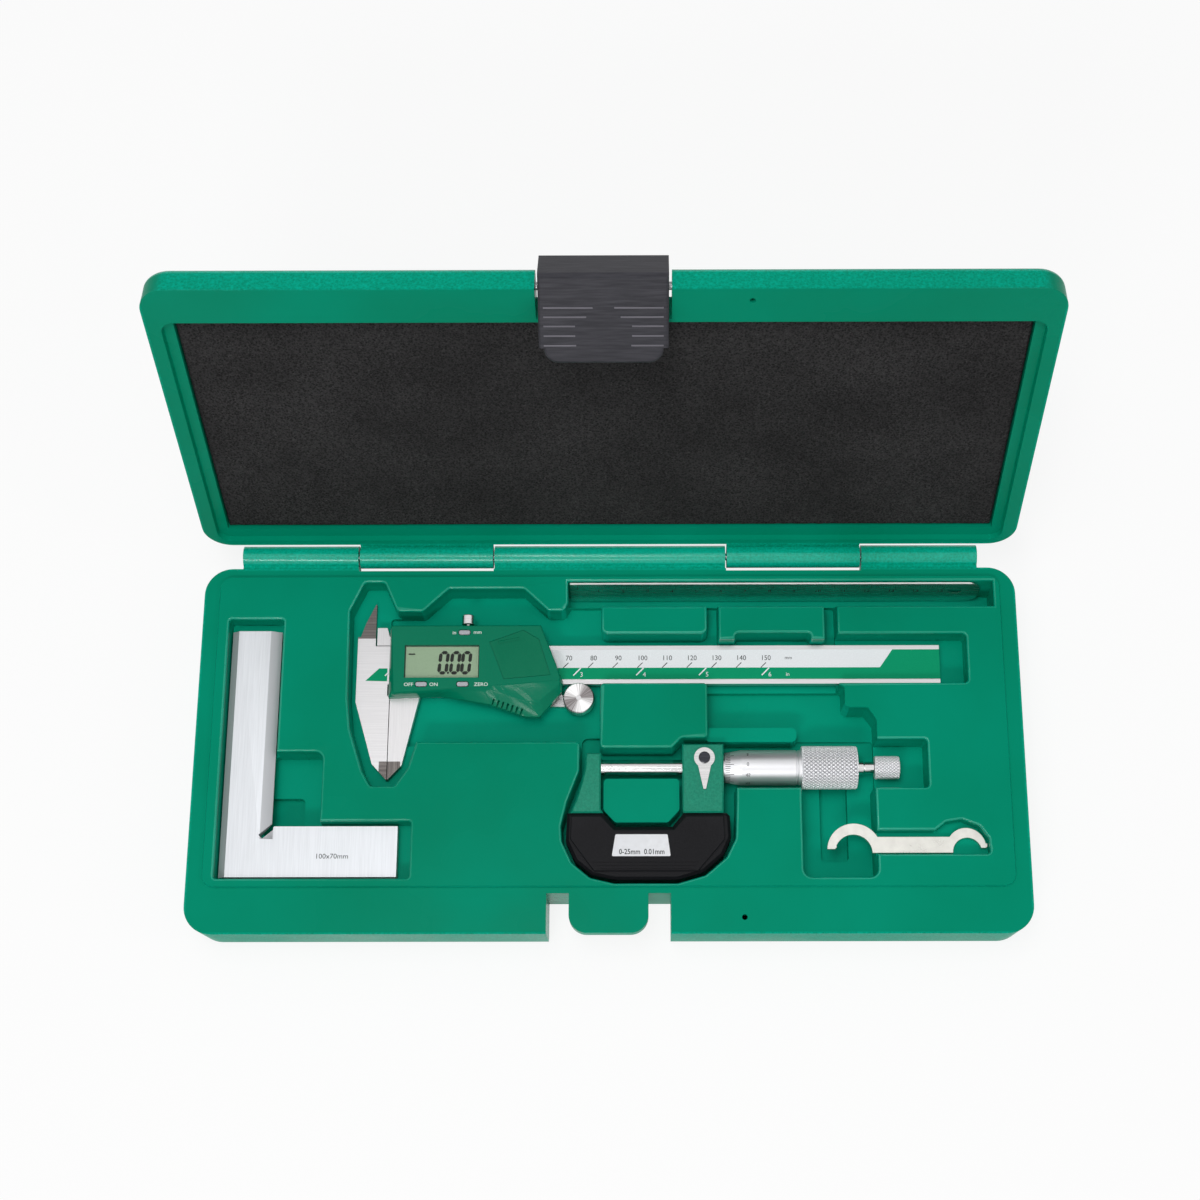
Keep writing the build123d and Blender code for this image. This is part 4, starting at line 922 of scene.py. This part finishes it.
def around_axis(x, radius, angle):
    """Points round the micrometer's axis: X along it, the radius and angle across it."""
    return np.stack([x, MIC_Y + radius * np.sin(angle), MIC_Z + radius * np.cos(angle)], axis=-1)


def triangle_wave(phase):
    """A wave between 0 and 1 with straight flanks: twice the phase's fraction, less one, without its sign."""
    return np.abs((phase % 1.0) * 2.0 - 1.0)


def knurled_barrel(left, right, radius, depth, count, pitch, across, along, edge):
    """Diamond knurling: two sets of straight-flanked grooves that cross, cut in a barrel with bevelled ends.
    With the turn round the axis counted in grooves and the run along it in pitches, the land is the smaller
    of the triangle waves of turn plus run and turn less run. The cut is one less GROOVE_STEEPNESS times the
    land, from 0 to 1, times the inset, which rises from 0 to 1 over the bevel's width, edge. The radius
    loses the depth times the cut, and 0.8 of the bevel's width times what the inset lacks of 1. Returned as
    angles, places along X, radii and the cut, each with a row for a place and a column for an angle."""
    x = np.linspace(left, right, along)
    angle = np.linspace(0, 2 * math.pi, across, endpoint=False)
    xs, angles = np.meshgrid(x, angle, indexing="ij")
    turn = angles / (2 * math.pi) * count
    run = (xs - left) / pitch
    land = np.minimum(triangle_wave(turn + run), triangle_wave(turn - run))
    inset = np.clip(np.minimum(xs - left, right - xs) / edge, 0.0, 1.0)
    cut = (1.0 - np.clip(land * GROOVE_STEEPNESS, 0, 1)) * inset
    radii = radius - edge * 0.8 * (1.0 - inset) - depth * cut
    return angles, xs, radii, cut


def turned_skin(before, barrel, after, tone):
    """A skin turned round the axis, as a grid: a row of points for each (place, radius) before a knurled
    barrel, the barrel's own rows, and a row for each after it. A point's groove number is the barrel's cut,
    or the tone on the plain rows."""
    angles, xs, radii, cut = barrel
    angle = angles[0]
    first, last = (
        [around_axis(np.full(len(angle), x), np.full(len(angle), radius), angle) for x, radius in rings]
        for rings in (before, after)
    )
    points = np.array(first + list(around_axis(xs, radii, angles)) + last)
    groove = np.full(points.shape[:2], tone)
    groove[len(before) : len(before) + len(cut)] = cut
    return points, groove


def thimble_surface():
    """The whole thimble as one turned skin, closed on itself: bore, bevelled nose, smooth barrel with its
    narrow groove, knurled grip, end face and the neck's hole. Its rings are those of turned_skin."""
    barrel = knurled_barrel(
        GRIP_LEFT, GRIP_RIGHT, GRIP_RADIUS, depth=0.5, count=36, pitch=1.75, across=360, along=140, edge=0.4
    )
    sunk = THIMBLE_RADIUS - RING_GROOVE_DEPTH
    before = [
        (BORE_FLOOR, BORE_RADIUS),
        (THIMBLE_LEFT, BORE_RADIUS),
        (THIMBLE_LEFT, NOSE_RADIUS),
        (THIMBLE_LEFT + THIMBLE_NOSE, THIMBLE_RADIUS),
        *zip(RING_GROOVE, (THIMBLE_RADIUS, sunk, sunk, THIMBLE_RADIUS)),
        (GRIP_FOOT, THIMBLE_RADIUS),
    ]
    after = [(THIMBLE_END, END_FACE_RADIUS), (THIMBLE_END, NECK_RADIUS), (BORE_FLOOR, NECK_RADIUS)]
    points, groove = turned_skin(before, barrel, after, SMOOTH_TONE)
    faces = grid_faces(*groove.shape, wrap_rows=True, wrap_columns=True)
    return points.reshape(-1, 3), faces, groove.ravel()


def knob_surface():
    """The ratchet's end knob: a finely knurled barrel between two ends whose rings step in to the axis, each
    closed by a small cap. Its rings are those of turned_skin."""
    barrel = knurled_barrel(
        KNOB_LEFT + KNOB_LIP,
        KNOB_RIGHT - KNOB_LIP,
        KNOB_RADIUS,
        depth=0.32,
        count=22,
        pitch=1.5,
        across=200,
        along=60,
        edge=0.35,
    )
    flat = KNOB_RADIUS - 0.9
    shoulder = KNOB_RADIUS - 0.4
    dish = KNOB_RIGHT - 0.3
    before = [(KNOB_LEFT, CAP_RADIUS), (KNOB_LEFT, flat), (KNOB_LEFT + 0.05, shoulder)]
    after = [(KNOB_RIGHT - 0.05, shoulder), (KNOB_RIGHT, flat), (dish, DISH_RADIUS), (dish, CAP_RADIUS)]
    points, groove = turned_skin(before, barrel, after, 0.0)
    rows, across = groove.shape
    faces = grid_faces(rows, across, wrap_columns=True).tolist()
    faces.append(list(range(across))[::-1])
    faces.append(list(range((rows - 1) * across, rows * across)))
    return points.reshape(-1, 3), faces, groove.ravel()


for name, surface, body, slot, node_name in (
    ("thimble_barrel", thimble_surface(), "thimble", "chrome_satin", "thimble"),
    ("ratchet_knob_barrel", knob_surface(), "ratchet", "bright_steel", "ratchet_knob"),
):
    points, faces, groove = surface
    skin = mesh_piece(name, points, faces, body, KNURLED_CHROME, slot, groove=groove)
    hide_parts(node_name)

DIVISIONS = 50
LONG_MARK = 3.4
SHORT_MARK = 2.0
MARK_WIDTH = 0.24
MARK_RISE = 0.03
NUMBER_PLACE = 55.0
NUMBER_RISE = 0.09


def band_mark(x0, x1, angle, width, radius0, radius1):
    """A thin mark lying on a cone round the micrometer's axis, between two places along it."""
    half = width / 2
    xs = np.array([x0, x1, x1, x0])
    radii = np.array([radius0, radius1, radius1, radius0])
    sides = np.array([-half, -half, half, half])
    return around_axis(xs, radii + MARK_RISE, angle + sides / radii), [[0, 1, 2, 3]]


thimble_marks = []
for step in range(DIVISIONS):
    angle = step / DIVISIONS * 2 * math.pi
    length = LONG_MARK if step % 5 == 0 else SHORT_MARK
    start = THIMBLE_LEFT + 0.1
    radius_end = NOSE_RADIUS + (length + 0.1) / THIMBLE_NOSE * (THIMBLE_RADIUS - NOSE_RADIUS)
    thimble_marks.append(band_mark(start, start + length, angle, MARK_WIDTH, NOSE_RADIUS + 0.02, radius_end))
mesh_piece("thimble_marks", *joined(thimble_marks), "thimble", BLACK_INK, "chrome_satin")

thimble_numbers = []
for step in range(0, DIVISIONS, 5):
    angle = step / DIVISIONS * 2 * math.pi
    points, faces = lettering(str(step), 1.5, (0.0, 0.0), 0.0, NUMBER_STRETCH)
    radii = np.full(len(points), THIMBLE_RADIUS + NUMBER_RISE)
    wrapped = around_axis(NUMBER_PLACE + points[:, 0], radii, angle - points[:, 1] / THIMBLE_RADIUS)
    thimble_numbers.append((wrapped, faces))
mesh_piece("thimble_numbers", *joined(thimble_numbers), "thimble", BLACK_INK, "chrome_satin")

LABEL_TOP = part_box("range_label")[1][2] / MM
points, faces = lettering("0-25mm  0.01mm", 2.1, (12.9, -42.4), LABEL_TOP + PRINT_RISE, 0.86, bold=0.02)
mesh_piece("range_words", points, faces, "micrometer", BLACK_INK, "label_silver")

# ---- rule: etched marks along its leaning face
RULE_LEFT = -16.2
RULE_LEAN = math.radians(11.0)
RULE_TOP_Y = 67.7
RULE_TOP_Z = RIM + 0.6
RULE_THICKNESS = 0.6
RULE_ZERO = 3.0
RULE_LENGTH = 150
ETCH_RISE = 0.02
# how many half millimetres apart the ticks of each length stand
TICKS = ((20, 4.4), (10, 3.4), (2, 2.6), (1, 1.6))


def on_rule(points):
    """Places drawn on the flat rule, X along it and Y down from its top edge, put on its leaning face."""
    p = np.asarray(points, float)
    out = RULE_THICKNESS + p[:, 2]
    y = RULE_TOP_Y + p[:, 1] * math.sin(RULE_LEAN) - out * math.cos(RULE_LEAN)
    z = RULE_TOP_Z + p[:, 1] * math.cos(RULE_LEAN) + out * math.sin(RULE_LEAN)
    return np.column_stack([p[:, 0] + RULE_LEFT, y, z])


rule_marks = []
for half in range(0, 2 * RULE_LENGTH + 1):
    x = RULE_ZERO + half * 0.5
    length = next(tick for step, tick in TICKS if half % step == 0)
    rule_marks.append(bar((x, -0.15), (x, -length), 0.14, 0.0, ETCH_RISE))
for tens in range(1, RULE_LENGTH // 10 + 1):
    rule_marks.append(lettering(str(tens), 2.0, (RULE_ZERO + tens * 10 - 1.4, -6.0), ETCH_RISE))
points, faces = joined(rule_marks)
mesh_piece("rule_marks", on_rule(points), faces, "rule", BLACK_INK, "satin_steel")

# ---- square: size etched on its short leg
points, faces = lettering("100x70mm", 2.0, (-108.5, -43.5), SQUARE_TOP + 0.01, 1.05)
mesh_piece("square_words", points, faces, "square", BLACK_INK, "ground_steel")

# ---- lid foam
FOAM_LOW = RIM + 3.0
FOAM_HIGH = RIM + 7.0
FOAM_WIDTH = 309.4
FOAM_DEPTH = 122.0
FOAM_CENTRE_Y = 4.5
FOAM_GAP = 0.2
FOAM_COLUMNS = 300
FOAM_ROWS = 130
SOFT_EDGE = 1.2
SOFT_DROP = 0.5


def foam_pad():
    """A cut sheet of foam: a rectangle whose open side is faintly uneven and soft at its edge, turned with
    the lid. The open side stands over FOAM_LOW by 0.1, plus the fall, plus a random height of spread 0.05,
    plus 0.08 times the sine of 0.045 x plus 0.6, times the cosine of 0.06 y. The fall is SOFT_DROP times the
    square of what the distance to the nearest edge, over SOFT_EDGE, lacks of 1. The hidden side is flat at
    FOAM_HIGH."""
    half_x = FOAM_WIDTH / 2 - FOAM_GAP
    half_y = FOAM_DEPTH / 2 - FOAM_GAP
    xs, ys = np.meshgrid(np.linspace(-1, 1, FOAM_COLUMNS) * half_x, np.linspace(-1, 1, FOAM_ROWS) * half_y)
    edge = np.minimum(half_x - np.abs(xs), half_y - np.abs(ys))
    fall = np.clip(1.0 - edge / SOFT_EDGE, 0.0, 1.0) ** 2 * SOFT_DROP
    rough = np.random.default_rng(7).normal(0.0, 0.05, xs.shape)
    wave = 0.08 * np.sin(xs * 0.045 + 0.6) * np.cos(ys * 0.06)
    seen = FOAM_LOW + 0.1 + fall + rough + wave
    hidden = np.full(xs.shape, FOAM_HIGH)
    sheets = [np.stack([xs, ys + FOAM_CENTRE_Y, height], axis=-1).reshape(-1, 3) for height in (seen, hidden)]
    columns, rows = FOAM_COLUMNS, FOAM_ROWS
    count = rows * columns
    quads = grid_faces(rows, columns)
    ring = np.array(
        list(range(columns))
        + [r * columns + columns - 1 for r in range(1, rows)]
        + [(rows - 1) * columns + c for c in range(columns - 2, -1, -1)]
        + [r * columns for r in range(rows - 2, 0, -1)]
    )
    ahead = np.roll(ring, -1)
    sides = np.column_stack([ring, ahead, ahead + count, ring + count])
    return opened(np.concatenate(sheets)), np.concatenate([quads[:, ::-1], quads + count, sides])


foam_piece = mesh_piece("lid_foam_sheet", *foam_pad(), "case_lid", FOAM, "foam", smooth=True)
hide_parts("lid_foam")

# ---- floor: white where it is seen, with a faint shadow
SHADOW_SHARE = 0.15
FLOOR_HALF = 6
floor_mesh = bpy.data.meshes.new("floor")
corners = [(x * FLOOR_HALF, y * FLOOR_HALF, 0) for x, y in ((-1, -1), (1, -1), (1, 1), (-1, 1))]
floor_mesh.from_pydata(corners, [], [(0, 1, 2, 3)])
placed("floor", floor_mesh)
floor_paint, tree, shader = new_material("floor_white", (0.9, 0.9, 0.9), 0.9, specular=0.0)
floor_mesh.materials.append(floor_paint)
glow = tree.nodes.new("ShaderNodeEmission")
rays = tree.nodes.new("ShaderNodeLightPath").outputs
shown = math_node(tree, "MAXIMUM", rays["Is Camera Ray"], rays["Is Glossy Ray"])
shown = math_node(tree, "MAXIMUM", shown, rays["Is Transmission Ray"])
mix = tree.nodes.new("ShaderNodeMixShader")
link(tree, math_node(tree, "MULTIPLY", shown, 1.0 - SHADOW_SHARE), mix.inputs[0])
link(tree, shader.outputs[0], mix.inputs[1])
link(tree, glow.outputs[0], mix.inputs[2])
link(tree, mix.outputs[0], tree.nodes["Material Output"].inputs["Surface"])

# ---- world: white above and grey at the sides
SKY_LOW = (0.5, 0.5, 0.51)
SKY_HIGH = (1.0, 1.0, 1.0)
SKY_FULL = 0.75
DIFFUSE_CUT = -0.57
world = bpy.data.worlds.new("studio")
bpy.context.scene.world = world
world.use_nodes = True
tree = world.node_tree
background = tree.nodes["Background"]
way = axes(tree, tree.nodes.new("ShaderNodeTexCoord").outputs["Generated"])
sky = two_tone(tree, spread(tree, way["Z"], 0.0, SKY_FULL), SKY_LOW, SKY_HIGH)
link(tree, sky, background.inputs["Color"])
rays = tree.nodes.new("ShaderNodeLightPath").outputs
dimmed = math_node(tree, "MULTIPLY", rays["Is Diffuse Ray"], DIFFUSE_CUT)
link(tree, math_node(tree, "ADD", dimmed, 1.0), background.inputs["Strength"])


# ---- lamps
def softbox(name, place, aim, size, power):
    """A soft rectangular lamp at a place, aimed at a point."""
    lamp = bpy.data.lights.new(name, "AREA")
    lamp.shape = "RECTANGLE"
    lamp.size, lamp.size_y = size
    lamp.energy = power
    holder = placed(name, lamp)
    holder.location = place
    holder.rotation_euler = (Vector(aim) - Vector(place)).to_track_quat("-Z", "Y").to_euler()
    return holder


TRAY_MIDDLE = (0.0, 0.02, 0.03)
CASE_MIDDLE = (0.0, 0.02, 0.05)
top_fill = softbox("lamp_top", (-0.1, 0.0, 1.25), TRAY_MIDDLE, size=(0.6, 0.4), power=4.6)
top_fill.visible_glossy = False
softbox("lamp_glint", (-0.1, -0.06, 1.25), TRAY_MIDDLE, size=(0.24, 0.12), power=1.0)
softbox("lamp_front", (-0.25, -0.85, 0.95), CASE_MIDDLE, size=(0.4, 0.16), power=3.4)
softbox("lamp_side", (0.95, -0.2, 0.7), CASE_MIDDLE, size=(0.2, 0.35), power=1.0)

# ---- camera: focal length and shift in pixels of a frame
FRAME_PIXELS = 1200.0
FOCAL = 2039.51
SHIFT = -40.0
SENSOR = 36.0
AZIMUTH = math.radians(-0.631)
ELEVATION = math.radians(71.875)
ROLL = math.radians(-0.725)
EYE = Vector((15.198, -182.012, 793.583 + RIM)) * MM
forward = Vector(
    (math.sin(AZIMUTH) * math.cos(ELEVATION), math.cos(AZIMUTH) * math.cos(ELEVATION), -math.sin(ELEVATION))
)
right = Vector((math.cos(AZIMUTH), -math.sin(AZIMUTH), 0.0))
up = right.cross(forward)
rolled_right = right * math.cos(ROLL) + up * math.sin(ROLL)
rolled_up = up * math.cos(ROLL) - right * math.sin(ROLL)
camera_data = bpy.data.cameras.new("camera")
camera_data.sensor_width = SENSOR
camera_data.lens = FOCAL / FRAME_PIXELS * SENSOR
camera_data.shift_x = SHIFT / FRAME_PIXELS
camera_data.shift_y = SHIFT / FRAME_PIXELS
camera_data.clip_start = 0.01
camera = placed("camera", camera_data)
camera.matrix_world = Matrix(
    (
        (rolled_right.x, rolled_up.x, -forward.x, EYE.x),
        (rolled_right.y, rolled_up.y, -forward.y, EYE.y),
        (rolled_right.z, rolled_up.z, -forward.z, EYE.z),
        (0.0, 0.0, 0.0, 1.0),
    )
)
bpy.context.scene.camera = camera
bpy.context.scene.view_settings.view_transform = "Standard"
